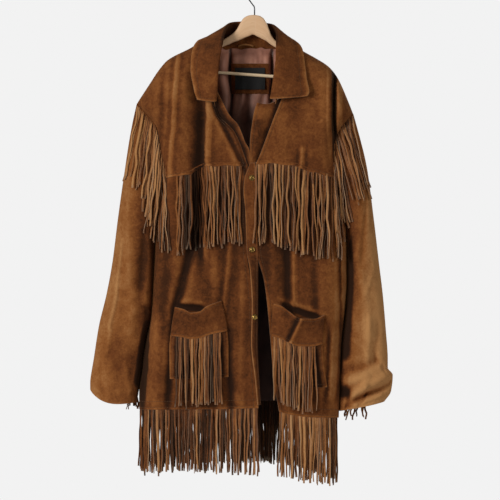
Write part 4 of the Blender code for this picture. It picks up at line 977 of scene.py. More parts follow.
def makeCollar():
    rows = [(i / (len(collar["sections"]) - 1), *row) for i, row in enumerate(collar["sections"])]
    us, vs = patchSteps(collar)
    row = tableAt(rows, us)
    fold, outer, seam = [row[:, None, k:k + 3] for k in (0, 3, 6)]
    under, over = np.linalg.norm(fold - seam, axis=2), np.linalg.norm(outer - fold, axis=2)
    at = (under / (under + over))[..., None]
    pull = (fold - (1 - at) ** 2 * seam - at**2 * outer) / (2 * at * (1 - at))
    v = vs[None, :, None]
    grid = (1 - v) ** 2 * seam + 2 * v * (1 - v) * pull + v**2 * outer
    # its root goes down inside the neck edge
    root = seam - (0, 0, collar["rootDrop"])
    behind = np.clip((seam[..., 1] + 10) / 15, 0, 1)
    root[..., 1] += behind * (bodyOut("back", root[..., 0], root[..., 2]) - 3.0 - root[..., 1])
    lead = np.linspace(1, 0, 6)[None, :-1, None]
    grid = np.concatenate([seam * (1 - lead) + root * lead, grid], axis=1)
    v = np.concatenate([0 * lead, v], axis=1)
    vs = v[0, :, 0]
    normal = gridNormals(grid)
    inStart, inEnd, _, fromOuter = fromEnds(us, vs, grid)
    leaf = np.clip((v[..., 0] - 0.45) / 0.1, 0, 1)
    raised = -collar["groove"] * bell(fromOuter - collar["stitchIn"], 2.0)
    raised -= collar["groove"] * leaf * (bell(inStart - collar["stitchIn"], 2.0)
                                         + bell(inEnd - collar["stitchIn"], 2.0))
    raised += collar["uneven"] * softNoise(grid[..., 0] + grid[..., 1], grid[..., 2], 26, 51) * leaf
    raised += collar["curl"][1] * bell(inStart - collar["curl"][0], 13) * bell(fromOuter - 3, 6)
    grid = grid + normal * raised[..., None]
    atEdge, atEnds, onFold = collar["worn"]
    rub = atEdge * bell(fromOuter, 4) + atEnds * (bell(inStart, 4) + bell(inEnd, 4))
    rub = rub + onFold * bell(v[..., 0] - at[..., 0], 0.08)
    # painted shade on the stand beside the hanger
    beside = np.clip((np.abs(grid[..., 0] + 5) - 28) / 12, 0, 1) * np.clip((grid[..., 2] + 150) / 20, 0, 1)
    rub = rub - collar["standDark"] * (1 - leaf) * beside
    piece = clothPiece("folded_collar", grid, collar["thick"], np.clip(rub, -1.6, 1), 0.35)
    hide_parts("collar")
    ends = [("column", column, 0.5, 0.93) for column in (8, -9)]
    sew(piece, collar["thick"], [("row", -9, 0.01, 0.99)] + ends)
    return piece


pockets = {
    "edges": {
        "left": {"mouth": [(-80, -759), (-116, -773), (-132, -785), (-151, -788), (-168, -780), (-191, -774)],
                 "inner": [(-80, -759), (-72, -793), (-66, -829), (-63, -872), (-63, -941)],
                 "outer": [(-191, -774), (-200, -830), (-204, -872), (-203, -946)],
                 "foot": [(-63, -941), (-130, -944), (-203, -946)]},
        "right": {"mouth": [(46, -766), (63, -771), (83, -785), (110, -802), (140, -803), (168, -793)],
                  "inner": [(46, -766), (41, -828), (42, -880), (46, -960)],
                  "outer": [(168, -793), (163, -853), (165, -902), (174, -966)],
                  "foot": [(46, -960), (110, -966), (174, -966)]}},
    "across": 125, "down": 185, "cells": (2.5, 2.5), "gape": 15.0, "fullness": 3.0, "hide": 1.6,
    "stitchIn": 6, "groove": 0.7, "uneven": 0.5, "edgeWorn": 0.7, "dark": 2.0,
    "band": {"across": 120, "down": 70, "cells": (2.5, 2.5), "run": (0.015, 0.97), "share": 0.40,
             "hide": 1.4, "edgeLift": 2.0, "grooves": (0.7, 0.6), "worn": 0.6,
             # the right band is folded over along a slanting line: its ends, height and width
             "fold": {"right": ((111, -800), (84, -858))}, "foldHeight": 7.5, "foldWidth": 14},
}


def pocketFlat(side, us, vs):
    edges = pockets["edges"][side]
    return coons(us, vs, alongPath(edges["mouth"], us), alongPath(edges["foot"], us),
                 alongPath(edges["inner"], vs), alongPath(edges["outer"], vs))


def smoothed(field, times=6):
    for _ in range(times):
        padded = np.pad(field, 1, mode="edge")
        field = (padded[:-2, 1:-1] + padded[2:, 1:-1] + padded[1:-1, :-2] + padded[1:-1, 2:] + 4 * field) / 8
    return field


def pocketBag(us, vs):
    middle = np.sin(math.pi * us)[:, None]
    v = vs[None, :]
    bag = pockets["fullness"] * middle**0.6 + pockets["gape"] * middle**0.8 * (1 - v) ** 1.6
    return bag * np.minimum(1.0, (1 - v) * 5)


def makePocket(side):
    us, vs = patchSteps(pockets)
    flat = pocketFlat(side, us, vs)
    x, z = flat[..., 0], flat[..., 1]
    wall = smoothed(bodyOut("front", x, z), 10) + bodyForm["hide"] / 2
    inner, outer, _, low = fromEnds(us, vs, flat)
    fromSide = np.minimum(inner, outer)
    out = wall + pockets["hide"] * 0.65 + 0.3 + pocketBag(us, vs)
    for distance in (fromSide, low):
        out -= pockets["groove"] * bell(distance - pockets["stitchIn"], 1.8)
    out += pockets["uneven"] * softNoise(x, z, 20, 61)
    # painted shade on the lower bag, under the band and its fringe
    under = np.clip((vs[None, :] - 0.35) * 5, 0, 1) * np.clip((fromSide - 8) / 8, 0, 1)
    rub = pockets["edgeWorn"] * (bell(fromSide, 3) + bell(low, 3)) - pockets["dark"] * under
    piece = clothPiece(f"pocket_{side}", np.stack([x, -out, z], -1), pockets["hide"], np.clip(rub, -2, 1))
    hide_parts(f"pocket_{side}")
    sew(piece, pockets["hide"], [("column", 6, 0, 0.97), ("column", -7, 0, 0.97), ("row", -7, 0.04, 0.96)])
    return piece


def makePocketBand(side):
    band = pockets["band"]
    us, vs = patchSteps(band)
    pocketUs, pocketVs = band["run"][0] + band["run"][1] * us, band["share"] * vs
    flat = pocketFlat(side, pocketUs, pocketVs)
    x, z = flat[..., 0], flat[..., 1]
    wall = smoothed(bodyOut("front", x, z), 10) + bodyForm["hide"] / 2
    _, _, top, low = fromEnds(us, vs, flat)
    out = wall + pockets["hide"] * 1.2 + 0.4 + pocketBag(pocketUs, pocketVs) + band["hide"] / 2
    out += band["edgeLift"] * bell(low, 8)
    for distance, deep in zip((low, top), band["grooves"]):
        out -= deep * bell(distance - pockets["stitchIn"], 1.8)
    out += pockets["uneven"] * softNoise(x, z, 18, 62)
    rub = band["worn"] * (bell(low, 4) + bell(top, 4))
    if side in band["fold"]:
        (x0, z0), (x1, z1) = band["fold"][side]
        off = ((x - x0) * (z0 - z1) + (z - z0) * (x1 - x0)) / math.hypot(x1 - x0, z1 - z0)
        step = 1 / (1 + np.exp(np.clip(-off, -30, 30)))
        out += band["foldHeight"] * bell(off, band["foldWidth"]) * step
        # painted highlight along the fold's ridge and painted shade beside it
        rub = rub + 1.2 * bell(off - 2, 3) - 1.6 * bell(off + 6, 6)
    piece = clothPiece(f"pocket_band_{side}", np.stack([x, -out, z], -1), band["hide"],
                       np.clip(rub, -1.6, 1.4))
    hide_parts(f"pocket_band_{side}")
    sew(piece, band["hide"], [("row", 6, 0, 1), ("row", -7, 0, 1)])
    return piece


snapStrip = {
    # z, left x, right x
    "edges": [(-429, -11, 1), (-446, -17, 2), (-462, -23, 2), (-495, -26, 3), (-540, -22, 5), (-640, -18, 7),
              (-685, -11, 8), (-771, -6, 8), (-858, -8, 7), (-951, 2, 11), (-1008, 7, 15)],
    "across": 26, "down": 570, "cells": (2.0, 3.0), "hide": 1.8, "lift": 1.6, "stitchIn": 4, "groove": 0.5,
    "uneven": 0.5, "bend": 5.0, "bendFrom": -650, "worn": 0.4,
    "snaps": {"snap_top": (-7, -464), "snap_middle": (-6, -636), "snap_bottom": (0, -798)},
    # profile of a snap's cap: radius, height
    "cap": [(0.0, 4.0), (1.2, 3.95), (2.4, 3.7), (3.5, 3.2), (4.4, 2.6), (5.0, 2.1), (5.3, 1.8), (5.6, 1.9),
            (6.0, 2.4), (6.4, 2.5), (6.8, 2.1), (6.9, 1.4), (6.7, 0.5), (6.5, 0.0), (0.0, 0.0)],
}


def makeSnapStrip():
    us, vs = patchSteps(snapStrip)
    x, z = betweenEdges(snapStrip["edges"], us, vs)
    wall = np.broadcast_to(bodyOut("front", x[len(us) // 4], z[0]), x.shape)
    inner, outer, _, _ = fromEnds(us, vs, np.stack([x, z], -1))
    fromSide = np.minimum(inner, outer)
    out = wall + bodyForm["hide"] / 2 + snapStrip["hide"] / 2 + snapStrip["lift"]
    out -= snapStrip["groove"] * bell(fromSide - snapStrip["stitchIn"], 1.5)
    out += snapStrip["uneven"] * softNoise(x, z, 30, 71)
    free = np.clip((snapStrip["bendFrom"] - z) / 60, 0, 1)
    out -= snapStrip["bend"] * free * us[:, None] ** 2
    # painted highlight on its left edge and painted shade across it where it bends back
    rub = snapStrip["worn"] * bell(fromSide, 3) + free * (1.2 * bell(inner, 2) - us[:, None])
    piece = clothPiece("snap_strip", np.stack([x, -out, z], -1), snapStrip["hide"],
                       np.clip(rub, -1.4, 1.2), 0.4)
    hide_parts("snap_strip")
    sew(piece, snapStrip["hide"], [("column", 4, 0.03, 1), ("column", -5, 0.03, 1)])
    return piece


def turned(name, profile, centre, material, count=40):
    # a form turned about the depth axis, facing forwards
    verts = []
    turns = np.linspace(0, 2 * math.pi, count, endpoint=False)
    for radius, height in profile[1:-1]:
        for turn in turns:
            verts.append((centre[0] + radius * math.cos(turn), centre[1] - height,
                          centre[2] + radius * math.sin(turn)))
    rings = len(profile) - 2
    faces = ringFaces(rings, count, closed=False)
    top, low = len(verts), len(verts) + 1
    verts += [(centre[0], centre[1] - height, centre[2]) for height in (profile[0][1], profile[-1][1])]
    for k in range(count):
        m = (k + 1) % count
        faces.append((top, m, k))
        faces.append((low, (rings - 1) * count + k, (rings - 1) * count + m))
    return meshPiece(name, verts, faces, material)


# left, right, top and bottom of each
label = {"patch": (-56, 34, -188, -260), "cloth": (-47, 25, -198, -250), "patchHide": 1.4, "clothThick": 0.7}


def makeLabel(liningPiece):
    under = treeFor(liningPiece)
    made = []
    for name, (x0, x1, z0, z1), thick, material, slot, cell in (
            ("label_patch", label["patch"], label["patchHide"], bodySuede, "suede", 2.5),
            ("label", label["cloth"], label["clothThick"], labelCloth, "label_cloth", 2.0)):
        us, vs = steps(x1 - x0, cell), steps(z0 - z1, cell)
        x, z = np.meshgrid(x0 + (x1 - x0) * us, z0 + (z1 - z0) * vs, indexing="ij")
        x = x + 0.8 * softNoise(x, z, 30, 81)
        base = outTo(under, x, z, "front", -40)
        for _ in range(4):
            base = np.maximum(base, smoothed(base, 12))
        base = smoothed(base + 1.0, 12)
        y = -(base + thick * 0.7 + 0.2)
        piece = clothPiece("neck_" + name, np.stack([x, y, z], -1), thick, raw=0.6, material=material)
        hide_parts(name)
        under = under + treeFor(piece)
        made.append(piece)
    return made


def tubePiece(name, points, radii, material, count=16, rub=0.0):
    # a round bar or wire along points, closed at its ends
    points = np.array(points, dtype=float)
    way = np.gradient(points, axis=0)
    way /= np.linalg.norm(way, axis=1, keepdims=True)
    side = np.cross(way, np.array((0.0, 1.0, 0.0)))
    side /= np.linalg.norm(side, axis=1, keepdims=True)
    up = np.cross(side, way)
    radii = np.broadcast_to(radii, len(points))
    turns = np.linspace(0, 2 * math.pi, count, endpoint=False)
    verts = [p + r * (s * math.cos(t) + u * math.sin(t)) for p, r, s, u in zip(points, radii, side, up)
             for t in turns]
    return meshPiece(name, verts, ringFaces(len(points), count), material,
                     {"grain": np.array(verts) * mm, "rub": np.full(len(verts), rub)})


fringe = {
    "width": 4.7, "thick": 1.5, "hemWider": 1.1, "widthSpread": 0.16, "taper": 0.12, "stripHeight": 5.0,
    "samples": 20, "kinks": 7, "sway": 3.8, "twist": 1.0, "turn": 1.3, "clear": 1.2, "hang": 0.9,
    # strands lie in three layers: how many in each, how far apart they are and how much painted shade or
    # light each layer gets
    "layers": (0.45, 0.35, 0.2), "layer": 3.2, "layerShade": (-0.9, 0.0, 0.35),
    "spread": 0.5, "tipPaler": 0.2, "paleEdge": 1.1, "paleEnd": 0.35, "wear": (-2.4, 1.8),
}
# the cross-section of a strand: across, through and how much of the pale cut edge shows
strandSection = [(-1, 0, 1), (-0.76, -1, 0.1), (0.76, -1, 0.1), (1, 0, 1), (0.76, 1, 0.1), (-0.76, 1, 0.1)]


def makeFringe(name, roots, tips, face, under, seed, fallback=0.0, strip=True, shade=0.0, free=1.0):
    # strands from roots to tips that lie on the pieces under them; fallback is how far out they hang where
    # nothing is under them, and free is how much they sway
    roots, tips = np.array(roots, dtype=float), np.array(tips, dtype=float)
    sign = -1 if face == "front" else 1
    count, samples = len(roots), fringe["samples"]
    chance = np.random.default_rng(seed)
    s = np.linspace(0, 1, samples)[None, :]
    spot = roots[:, None, :] * (1 - s[..., None]) + tips[:, None, :] * s[..., None]
    phase = chance.uniform(0, 2 * math.pi, (count, 3))
    kinks = chance.normal(0, 1, (count, fringe["kinks"]))
    clump = softNoise(roots[:, 0], np.full(count, float(seed)), 11, seed)[:, None]
    kinkAt = np.minimum((s[0] * fringe["kinks"]).astype(int), fringe["kinks"] - 1)
    walk = np.cumsum(kinks[:, kinkAt], axis=1) / samples
    wave = np.sin(phase[:, 2:3] + s * 14) * np.minimum(1, s * 4)
    x = spot[..., 0] + free * fringe["sway"] * (2.6 * walk + 1.1 * clump * s + 0.2 * wave)
    z = spot[..., 1]
    need = outTo(under, x, z, face, fallback)
    slope = np.gradient(smoothed(need, 3), axis=0) / np.gradient(roots[:, 0])[:, None]
    slope = sign * np.clip(slope, -fringe["turn"], fringe["turn"])
    layer = chance.choice([0.0, 1.0, 2.0], count, p=fringe["layers"])[:, None]
    need = need + fringe["clear"] + layer * fringe["layer"] * np.minimum(1, s * 6)
    out = np.maximum.accumulate(need, axis=1)
    for _ in range(3):
        out[:, 1:-1] = np.maximum(need[:, 1:-1], (out[:, :-2] + 2 * out[:, 1:-1] + out[:, 2:]) / 4)
    out = out + fringe["hang"] * (1 + np.sin(phase[:, 1:2] + s * 4)) * s
    path = np.stack([x, sign * out, z], -1)
    way = np.gradient(path, axis=1)
    way /= np.linalg.norm(way, axis=2, keepdims=True)
    twist = chance.normal(0, 1, (count, 1)) * s + 0.35 * np.sin(phase[:, 2:3] + 3.5 * s) * s
    turn = fringe["twist"] * twist
    level = np.stack([np.ones_like(slope), slope, np.zeros_like(slope)], -1)
    side = level - way * (way * level).sum(axis=2, keepdims=True)
    side /= np.linalg.norm(side, axis=2, keepdims=True)
    through = np.cross(way, side)
    wide = side * np.cos(turn)[..., None] + through * np.sin(turn)[..., None]
    thin = np.cross(way, wide)
    wider = 1 if strip else fringe["hemWider"]
    size = fringe["width"] / 2 * wider * (1 + fringe["widthSpread"] * chance.normal(0, 1, (count, 1)))
    size = size * (1 - fringe["taper"] * s)
    section = np.array(strandSection)
    ring = (path[:, :, None] + wide[:, :, None] * (section[:, 0] * size[..., None])[..., None]
            + thin[:, :, None] * (section[:, 1] * fringe["thick"] / 2)[None, None, :, None])
    corners = len(section)
    index = np.arange(count * samples * corners).reshape(count, samples, corners)
    a, b = index[:, :-1], index[:, 1:]
    faces = np.stack([a, b, np.roll(b, -1, axis=2), np.roll(a, -1, axis=2)], -1).reshape(-1, 4).tolist()
    faces += [tuple(r) for r in index[:, 0].tolist()] + [tuple(r[::-1]) for r in index[:, -1].tolist()]
    verts = ring.reshape(-1, 3)
    onePale, otherPale = [chance.uniform(0, fringe["paleEdge"], (count, 1)) for _ in range(2)]
    pale = np.where(section[None, :, 0] < 0, onePale, otherPale)
    # strands that lie lower get painted shade: they are darker and show less of their cut edges
    shade = shade + np.interp(layer[:, :, None], (0, 1, 2), fringe["layerShade"])
    raw = np.broadcast_to((section[:, 2] * pale)[:, None], (count, samples, corners))
    raw = raw * np.clip(1 + 0.5 * np.minimum(shade, 0), 0.15, 1)
    raw[:, -1] = fringe["paleEnd"]
    rub = np.broadcast_to(chance.normal(shade, fringe["spread"], (count, 1, 1)), raw.shape)
    rub = rub + fringe["tipPaler"] * s[..., None]
    raw, rub = raw.reshape(-1), rub.reshape(-1)
    if strip:      # a strip joins the strands at their roots
        half, high = fringe["thick"] / 2, fringe["stripHeight"]
        around = ((-half, -1), (-half, high), (half, high), (half, -1))
        joined = [(x, y + dy, z + dz) for (x, z), y in zip(roots, sign * out[:, 0]) for dy, dz in around]
        faces += ringFaces(count, len(around), len(verts))
        verts = np.concatenate([verts, joined])
        raw, rub = [np.concatenate([values, np.zeros(len(joined))]) for values in (raw, rub)]
    piece = meshPiece(name, verts, faces, fringeSuede,
                      {"rawEdge": np.clip(raw, 0, 1), "rub": np.clip(rub, *fringe["wear"])})
    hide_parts(name)
    return piece


def evenly(rows, count, start, end, above=4.0):
    # roots spread evenly across, a little above the line of rows
    x0, x1 = rows[0][0], rows[-1][0]
    way = math.copysign(1.0, x1 - x0)
    xs = np.linspace(x0 + way * start, x1 - way * end, count)
    return np.stack([xs, tableAt(rows, xs)[:, 0] + above], -1)


def tipsUnder(roots, tipRows, seed, uneven=5.0):
    chance = np.random.default_rng(seed)
    z = tableAt(tipRows, roots[:, 0])[:, 0] + chance.normal(0, uneven, len(roots)) * 0.7
    return np.stack([roots[:, 0] + chance.normal(0, 1.2, len(roots)), z], -1)


# Each fringe below: rows of x, z for its tips, how many strands, how dark or pale (painted light and shade on
# its strands), how free, and its seeds.
yokeFringe = {
    "tips": {"left": [(-30, -619), (-86, -627), (-132, -631), (-160, -640), (-206, -654)],
             "right": [(6, -618), (57, -627), (87, -634), (118, -650), (184, -660)]},
    "strands": {"left": 34, "right": 41}, "margins": {"left": (16.0, 27.0), "right": (4.0, 6.0)},
    "shade": {"left": 0.65, "right": 0.4}, "free": 1.5, "tipSeed": 101, "seed": {"left": 106, "right": 107},
    # strands that lie in the deep fold get painted shade: how much, x of the fold, reach
    "inFold": {"left": (2.0, -146, 18), "right": (0.0, -146, 18)},
}


def makeYokeFringe(side):
    roots = evenly(yokes["seam"][side], yokeFringe["strands"][side], *yokeFringe["margins"][side])
    under = treeFor(frontPieces[side], stripPiece) if side == "left" else treeFor(frontPieces[side])
    tips = tipsUnder(roots, yokeFringe["tips"][side], yokeFringe["tipSeed"])
    dark, foldX, reach = yokeFringe["inFold"][side]
    shade = yokeFringe["shade"][side] - dark * bell(roots[:, 0] - foldX, reach)[:, None, None]
    return makeFringe(f"fringe_yoke_{side}", roots, tips, "front", under, yokeFringe["seed"][side],
                      fallback=bodyOut("front", roots[:, 0], roots[:, 1]) + bodyForm["hide"] / 2,
                      shade=shade, free=yokeFringe["free"])


armFringe = {
    "roots": {
        "left": [(-283, -292), (-272, -304), (-261, -316), (-250, -328), (-240, -342), (-234, -362),
                 (-230, -386), (-225, -412), (-219, -438), (-214, -462)],
        "right": [(236, -316), (229, -323), (221, -330), (213, -339), (205, -350), (198, -366), (194, -388),
                  (192, -412), (191, -436), (191, -460)]},
    # tips: share of the run of roots, x, z
    "tips": {
        "left": [(0.0, -314, -460), (0.12, -299, -476), (0.27, -270, -493), (0.42, -261, -536),
                 (0.55, -258, -565), (0.75, -245, -613), (0.92, -220, -636), (1.0, -210, -633)],
        "right": [(0.0, 279, -482), (0.2, 262, -512), (0.35, 246, -515), (0.5, 221, -580), (0.65, 207, -566),
                  (0.8, 196, -627), (1.0, 209, -657)]},
    # rows of roots and share of the tips that each face has
    "rows": {"front": 10, "back": 8}, "tipRun": {"front": 1.0, "back": 0.78}, "tipSpread": (3.0, 9.0),
    "strands": {"front": 36, "back": 20}, "shade": {"left": (2.0, 0.5), "right": (0.8, 0.8)}, "free": 1.4,
    "rootIn": 0.5, "rootUp": 2.0, "fallback": 8, "tipSeed": 110, "seed": {"left": 124, "right": 125},
}


def makeArmFringe(side, face):
    line = np.array(armFringe["roots"][side][:armFringe["rows"][face]], dtype=float)
    shares = np.linspace(0, 1, armFringe["strands"][face])
    roots = alongPath(line, shares) + np.array((outward[side] * -armFringe["rootIn"], armFringe["rootUp"]))
    tips = tableAt(armFringe["tips"][side], shares * armFringe["tipRun"][face])
    tips = tips + np.random.default_rng(armFringe["tipSeed"]).normal(0, armFringe["tipSpread"], tips.shape)
    under = (yokePieces[side], frontPieces[side]) if face == "front" else (backPiece,)
    # painted light and shade along the run of roots: the left fringe is paler at the shoulder's end, where
    # the light falls
    shade = np.interp(shares, (0, 1), armFringe["shade"][side])[:, None, None]
    return makeFringe(f"fringe_armhole_{side}_{face}", roots, tips, face, treeFor(*under, sleevePieces[side]),
                      armFringe["seed"][side], fallback=armFringe["fallback"], free=armFringe["free"],
                      shade=shade)


pocketFringe = {
    "tips": {"left": [(-200, -1012), (-80, -1006)], "right": [(40, -994), (100, -1018), (150, -1028)]},
    "run": {"left": (0.13, 0.91), "right": (0.05, 0.84)}, "strands": 25, "rootUp": 3,
    "shade": {"left": 0.1, "right": 0.75}, "free": 0.8, "fallback": 50,
    "tipSeed": 131, "seed": {"left": 136, "right": 137},
}


def makePocketFringe(side):
    # its roots lie along the lower edge of the band
    line = pocketFlat(side, np.linspace(0, 1, 60), np.array([0.0, pockets["band"]["share"], 1.0]))[:, 1]
    roots = alongPath(line, np.linspace(*pocketFringe["run"][side], pocketFringe["strands"]))
    roots[:, 1] += pocketFringe["rootUp"]
    tips = tipsUnder(roots, pocketFringe["tips"][side], pocketFringe["tipSeed"])
    return makeFringe(f"fringe_pocket_{side}", roots, tips, "front",
                      treeFor(pocketPieces[side], frontPieces[side]), pocketFringe["seed"][side],
                      fallback=pocketFringe["fallback"], free=pocketFringe["free"],
                      shade=pocketFringe["shade"][side])


hemFringe = {
    "tips": {"left": [(0, -1176), (-91, -1168), (-184, -1166), (-274, -1172)],
             "right": [(59, -1176), (120, -1190), (199, -1200)],
             "back": [(-272, -1164), (-120, -1150), (20, -1146), (110, -1160), (197, -1192)]},
    "strands": {"left": 80, "right": 42, "back": 178}, "margins": (2.5, 4.0),
    "doubled": (-4, 46), "doubledBy": 1.9,      # where the back has a second set of strands, and how far off
    "shade": {"left": 0.0, "right": 0.5, "back": -0.6}, "free": {"left": 0.7, "right": 0.7, "back": 0.6},
    "tipSeed": {"left": 141, "right": 141, "back": 161}, "seed": {"left": 146, "right": 147, "back": 162},
}


def makeHemFringe(place):
    face, line = ("back", backPanel["hem"]) if place == "back" else ("front", fronts["hem"][place])
    roots = evenly(line, hemFringe["strands"][place], *hemFringe["margins"])
    if place == "back":      # behind the open fronts a second set of strands closes the gaps
        first, last = hemFringe["doubled"]
        second = roots[(roots[:, 0] > first) & (roots[:, 0] < last)] + (hemFringe["doubledBy"], 0.0)
        roots = np.concatenate([roots, second])
        roots = roots[np.argsort(roots[:, 0])]
    tips = tipsUnder(roots, hemFringe["tips"][place], hemFringe["tipSeed"][place])
    # the strands hang inside the hem
    inside = bodyForm["hide"] / 2 + fringe["thick"] / 2 + fringe["clear"]
    return makeFringe(f"fringe_hem_{place}", roots, tips, face, [], hemFringe["seed"][place],
                      fallback=bodyOut(face, roots[:, 0], roots[:, 1]) - inside, strip=False,
                      shade=hemFringe["shade"][place], free=hemFringe["free"][place])


# on the back seam of each cuff: x of the first and last root, z of the roots and tips
cuffFringe = {"ends": {"left": (-301, -284, -980, -1016), "right": (222, 264, -998, -1042)}, "strands": 9,
              "tipSpread": 3, "fallback": 26, "shade": 1.0, "tipSeed": 150, "seed": 151}


def makeCuffFringe(side):
    x0, x1, top, low = cuffFringe["ends"][side]
    roots = np.stack([np.linspace(x0, x1, cuffFringe["strands"]), np.full(cuffFringe["strands"], top)], -1)
    spread = np.random.default_rng(cuffFringe["tipSeed"]).normal(0, cuffFringe["tipSpread"], roots.shape)
    return makeFringe(f"fringe_cuff_{side}", roots, roots + np.array((0.0, low - top)) + spread, "back",
                      treeFor(sleevePieces[side]), cuffFringe["seed"], fallback=cuffFringe["fallback"],
                      shade=cuffFringe["shade"])


yokePieces = {side: makeYoke(side) for side in sides}
frontPieces = {side: makeFront(side) for side in sides}
backPiece = makeBack()
print("body panels made")
facingPieces = {side: makeFacing(side) for side in sides}
liningPiece = makeLining()
sleevePieces = {side: makeSleeve(side) for side in sides}
collarPiece = makeCollar()
stripPiece = makeSnapStrip()
patchPiece, labelPiece = makeLabel(liningPiece)
pocketPieces, bandPieces = {}, {}
for side in sides:
    pocketPieces[side] = makePocket(side)
    bandPieces[side] = makePocketBand(side)
print("facings, lining, sleeves, collar, strip, label and pockets made")

for name, (x, z) in snapStrip["snaps"].items():
    base = outTo(treeFor(stripPiece), np.array([x]), np.array([z]), "front", 50)[0]
    turned(name, snapStrip["cap"], (x, -base + 0.3, z), snapBrass)
    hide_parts(name)

# x, z and how far forward of what it lies on
loopForm = {"points": ((-39, -145.5, 0), (-33, -143, 2), (-21, -141.5, 4), (-9, -143, 2), (-3, -145.5, 0)),
            "samples": 30, "radius": 2.1, "corners": 12, "worn": 1.2}
loopX = np.linspace(loopForm["points"][0][0], loopForm["points"][-1][0], loopForm["samples"])
loopZ, loopOff = tableAt(loopForm["points"], loopX).T
loopBase = smoothed(outTo(treeFor(collarPiece, liningPiece), loopX, loopZ, "front", -40)[:, None], 4)[:, 0]
loopPath = np.stack([loopX, -loopBase - loopForm["radius"] - loopOff, loopZ], -1)
loopPiece = tubePiece("hang_loop", loopPath, loopForm["radius"], bodySuede, loopForm["corners"],
                      rub=loopForm["worn"])
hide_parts("hang_loop")

for side in sides:
    makeYokeFringe(side)
    for face in ("front", "back"):
        makeArmFringe(side, face)
    makePocketFringe(side)
    makeHemFringe(side)
    makeCuffFringe(side)
makeHemFringe("back")
print("fringes made")

hanger = {
    # x, top z, bottom z, half depth
    "form": [
        (-220, -197, -211, 5), (-212, -189, -213, 7), (-150, -162, -186, 8), (-100, -141, -160, 8),
        (-72, -128, -146, 8), (-60, -121, -141, 8), (-49, -112.5, -136, 8), (-42, -104, -134, 8),
        (-34.5, -90, -131, 8), (-26, -78, -127, 8), (-13, -71.5, -122, 8), (-4, -70.5, -118.5, 8),
        (8, -71.5, -123.5, 8), (21, -78, -130, 8), (29, -90, -134, 8), (36, -108, -140, 8),
        (42, -121, -144, 8), (53, -134.5, -151, 8), (110, -166, -185, 8),
        (160, -193, -216, 7), (180, -205, -227, 6), (187, -212, -226, 4)],
    "corners": 36, "bar": ((-179.0, -203.0), (173.4, -227.8)), "barRadius": 3.8,
    "joint": (1.0, 0.35),       # x and depth of the line where the two arms meet
    "armGrain": 300,            # the right arm is another piece of wood, so its grain starts elsewhere
    "hookRadius": 20.0, "hookWire": 1.5, "hookLean": math.radians(35), "hookEnd": math.radians(-28),
    "hookRoot": -72.0, "hookTip": (1.4, 1.2, 0.8),      # where the wire goes in, and its last radii
}


def makeHanger():
    xs = np.concatenate([[-220, -219.5, -218.5, -217], np.linspace(-215, -1, 100), [-0.2, 0.4, 1.0, 1.6, 2.2],
                         np.linspace(3, 182, 86), [184, 185.7, 186.6, 187]])
    top, low, deep = tableAt(hanger["form"], xs).T
    deep = deep - hanger["joint"][1] * bell(xs - hanger["joint"][0], 0.6)
    fade = np.minimum(1, np.minimum(xs + 220.6, 187.6 - xs) / 4) ** 0.5
    count = hanger["corners"]
    turns = np.linspace(0, 2 * math.pi, count, endpoint=False)
    verts, grain = [], []
    for x, t, b, d, f in zip(xs, top, low, deep, fade):
        for turn in turns:
            c, s = math.cos(turn), math.sin(turn)
            along = abs(x) + (hanger["armGrain"] if x > hanger["joint"][0] else 0)
            grain.append((along * mm, c * d * mm, s * (t - b) / 2 * mm))
            verts.append((x, math.copysign(abs(c) ** 0.6, c) * d * f,
                          (t + b) / 2 + math.copysign(abs(s) ** 0.6, s) * (t - b) / 2 * f))
    wood = meshPiece("hanger_wood", verts, ringFaces(len(xs), count), hangerBeech, {"grain": grain})
    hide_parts("hanger_wood")
    (x0, z0), (x1, z1) = hanger["bar"]
    bar = tubePiece("hanger_bar", np.linspace((x0, 0, z0), (x1, 0, z1), 40), hanger["barRadius"], barBeechLit,
                    24)
    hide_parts("hanger_bar")
    centre = -(hanger["hookRadius"] - hanger["hookWire"])
    kink = centre - hanger["hookRadius"] / math.sin(hanger["hookLean"])
    start = math.pi + hanger["hookLean"]
    points = [(0, 0, hanger["hookRoot"]), (0, 0, kink - 6), (0, 0, kink - 3), (-0.3, 0, kink),
              (-1.2, 0, kink + 3)]
    points += [(hanger["hookRadius"] * math.cos(t), 0, centre + hanger["hookRadius"] * math.sin(t))
               for t in np.linspace(start, hanger["hookEnd"], 70)]
    radii = np.full(len(points), hanger["hookWire"])
    radii[-3:] = hanger["hookTip"]
    hook = tubePiece("hanger_hook", points, radii, hookSteel, 14)
    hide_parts("hanger_hook")


makeHanger()
print("hanger made")

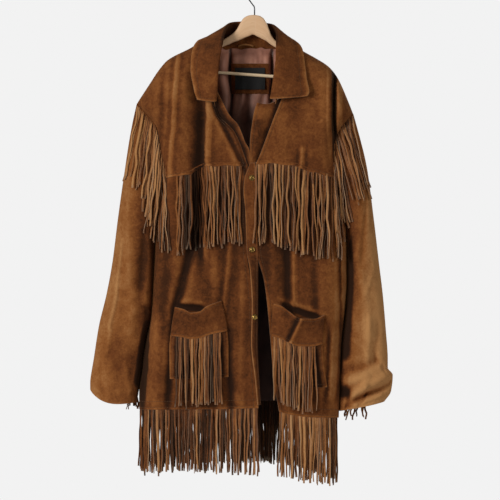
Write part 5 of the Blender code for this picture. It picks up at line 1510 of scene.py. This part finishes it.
studio = {"pictureWidth": 1.2, "centre": (-0.011, -0.637), "distance": 12.0, "clothPlane": -0.045,
          "floorPlace": (0, 0.6, -1.40), "floorRadius": 1.6, "pale": "#f2f2f2",
          "skyLight": "#f4f2ee", "skyStrength": 0.12,
          # lamps: name, place, size, watts
          "lamps": (("keyLight", (-4.0, -4.0, 0.4), 1.9, 206), ("fillLight", (2.8, -2.6, 0.2), 1.6, 28),
                    ("topLight", (-0.3, -1.0, 2.0), 1.2, 6), ("rearLight", (0.6, 2.8, 0.6), 2.0, 35))}


def makeStudio():
    bpy.ops.mesh.primitive_circle_add(vertices=64, radius=studio["floorRadius"], fill_type="NGON",
                                      location=studio["floorPlace"])
    floor = bpy.context.object
    floor.name = "studio_floor"
    # board, rolled with matt wall paint: an even pale field with no shine
    floorPaint = newMaterial("paintedFloor", {"Base Color": linear(studio["pale"]), "Roughness": 0.8})[0]
    floor.data.materials.append(floorPaint)

    world = bpy.data.worlds.new("paleStudio")
    bpy.context.scene.world = world
    world.use_nodes = True
    tree = world.node_tree
    tree.nodes.clear()
    seen = addNode(tree, "Background", {"Color": linear(studio["pale"]), "Strength": 1.0})
    light = addNode(tree, "Background", {"Color": linear(studio["skyLight"]),
                                         "Strength": studio["skyStrength"]})
    ray = addNode(tree, "LightPath")
    mixed = addNode(tree, "MixShader", links={0: ray.outputs["Is Camera Ray"], 1: light.outputs[0],
                                              2: seen.outputs[0]})
    addNode(tree, "OutputWorld", links={"Surface": mixed.outputs[0]})

    aim = Vector((studio["centre"][0], 0, studio["centre"][1]))
    for name, place, size, watts in studio["lamps"]:
        lamp = bpy.data.lights.new(name, "AREA")
        lamp.shape, lamp.size, lamp.energy = "SQUARE", size, watts
        item = bpy.data.objects.new(name, lamp)
        item.location = place
        item.rotation_euler = (aim - Vector(place)).to_track_quat("-Z", "Y").to_euler()
        bpy.context.scene.collection.objects.link(item)

    lens = bpy.data.cameras.new("camera")
    camera = bpy.data.objects.new("camera", lens)
    lens.sensor_fit = "HORIZONTAL"
    lens.angle = 2 * math.atan(studio["pictureWidth"] / 2 / studio["distance"])
    camera.location = (aim.x, studio["clothPlane"] - studio["distance"], aim.z)
    camera.rotation_euler = (math.radians(90), 0, 0)
    bpy.context.scene.collection.objects.link(camera)
    bpy.context.scene.camera = camera
    bpy.context.scene.view_settings.view_transform = "Standard"


makeStudio()
print("studio made")
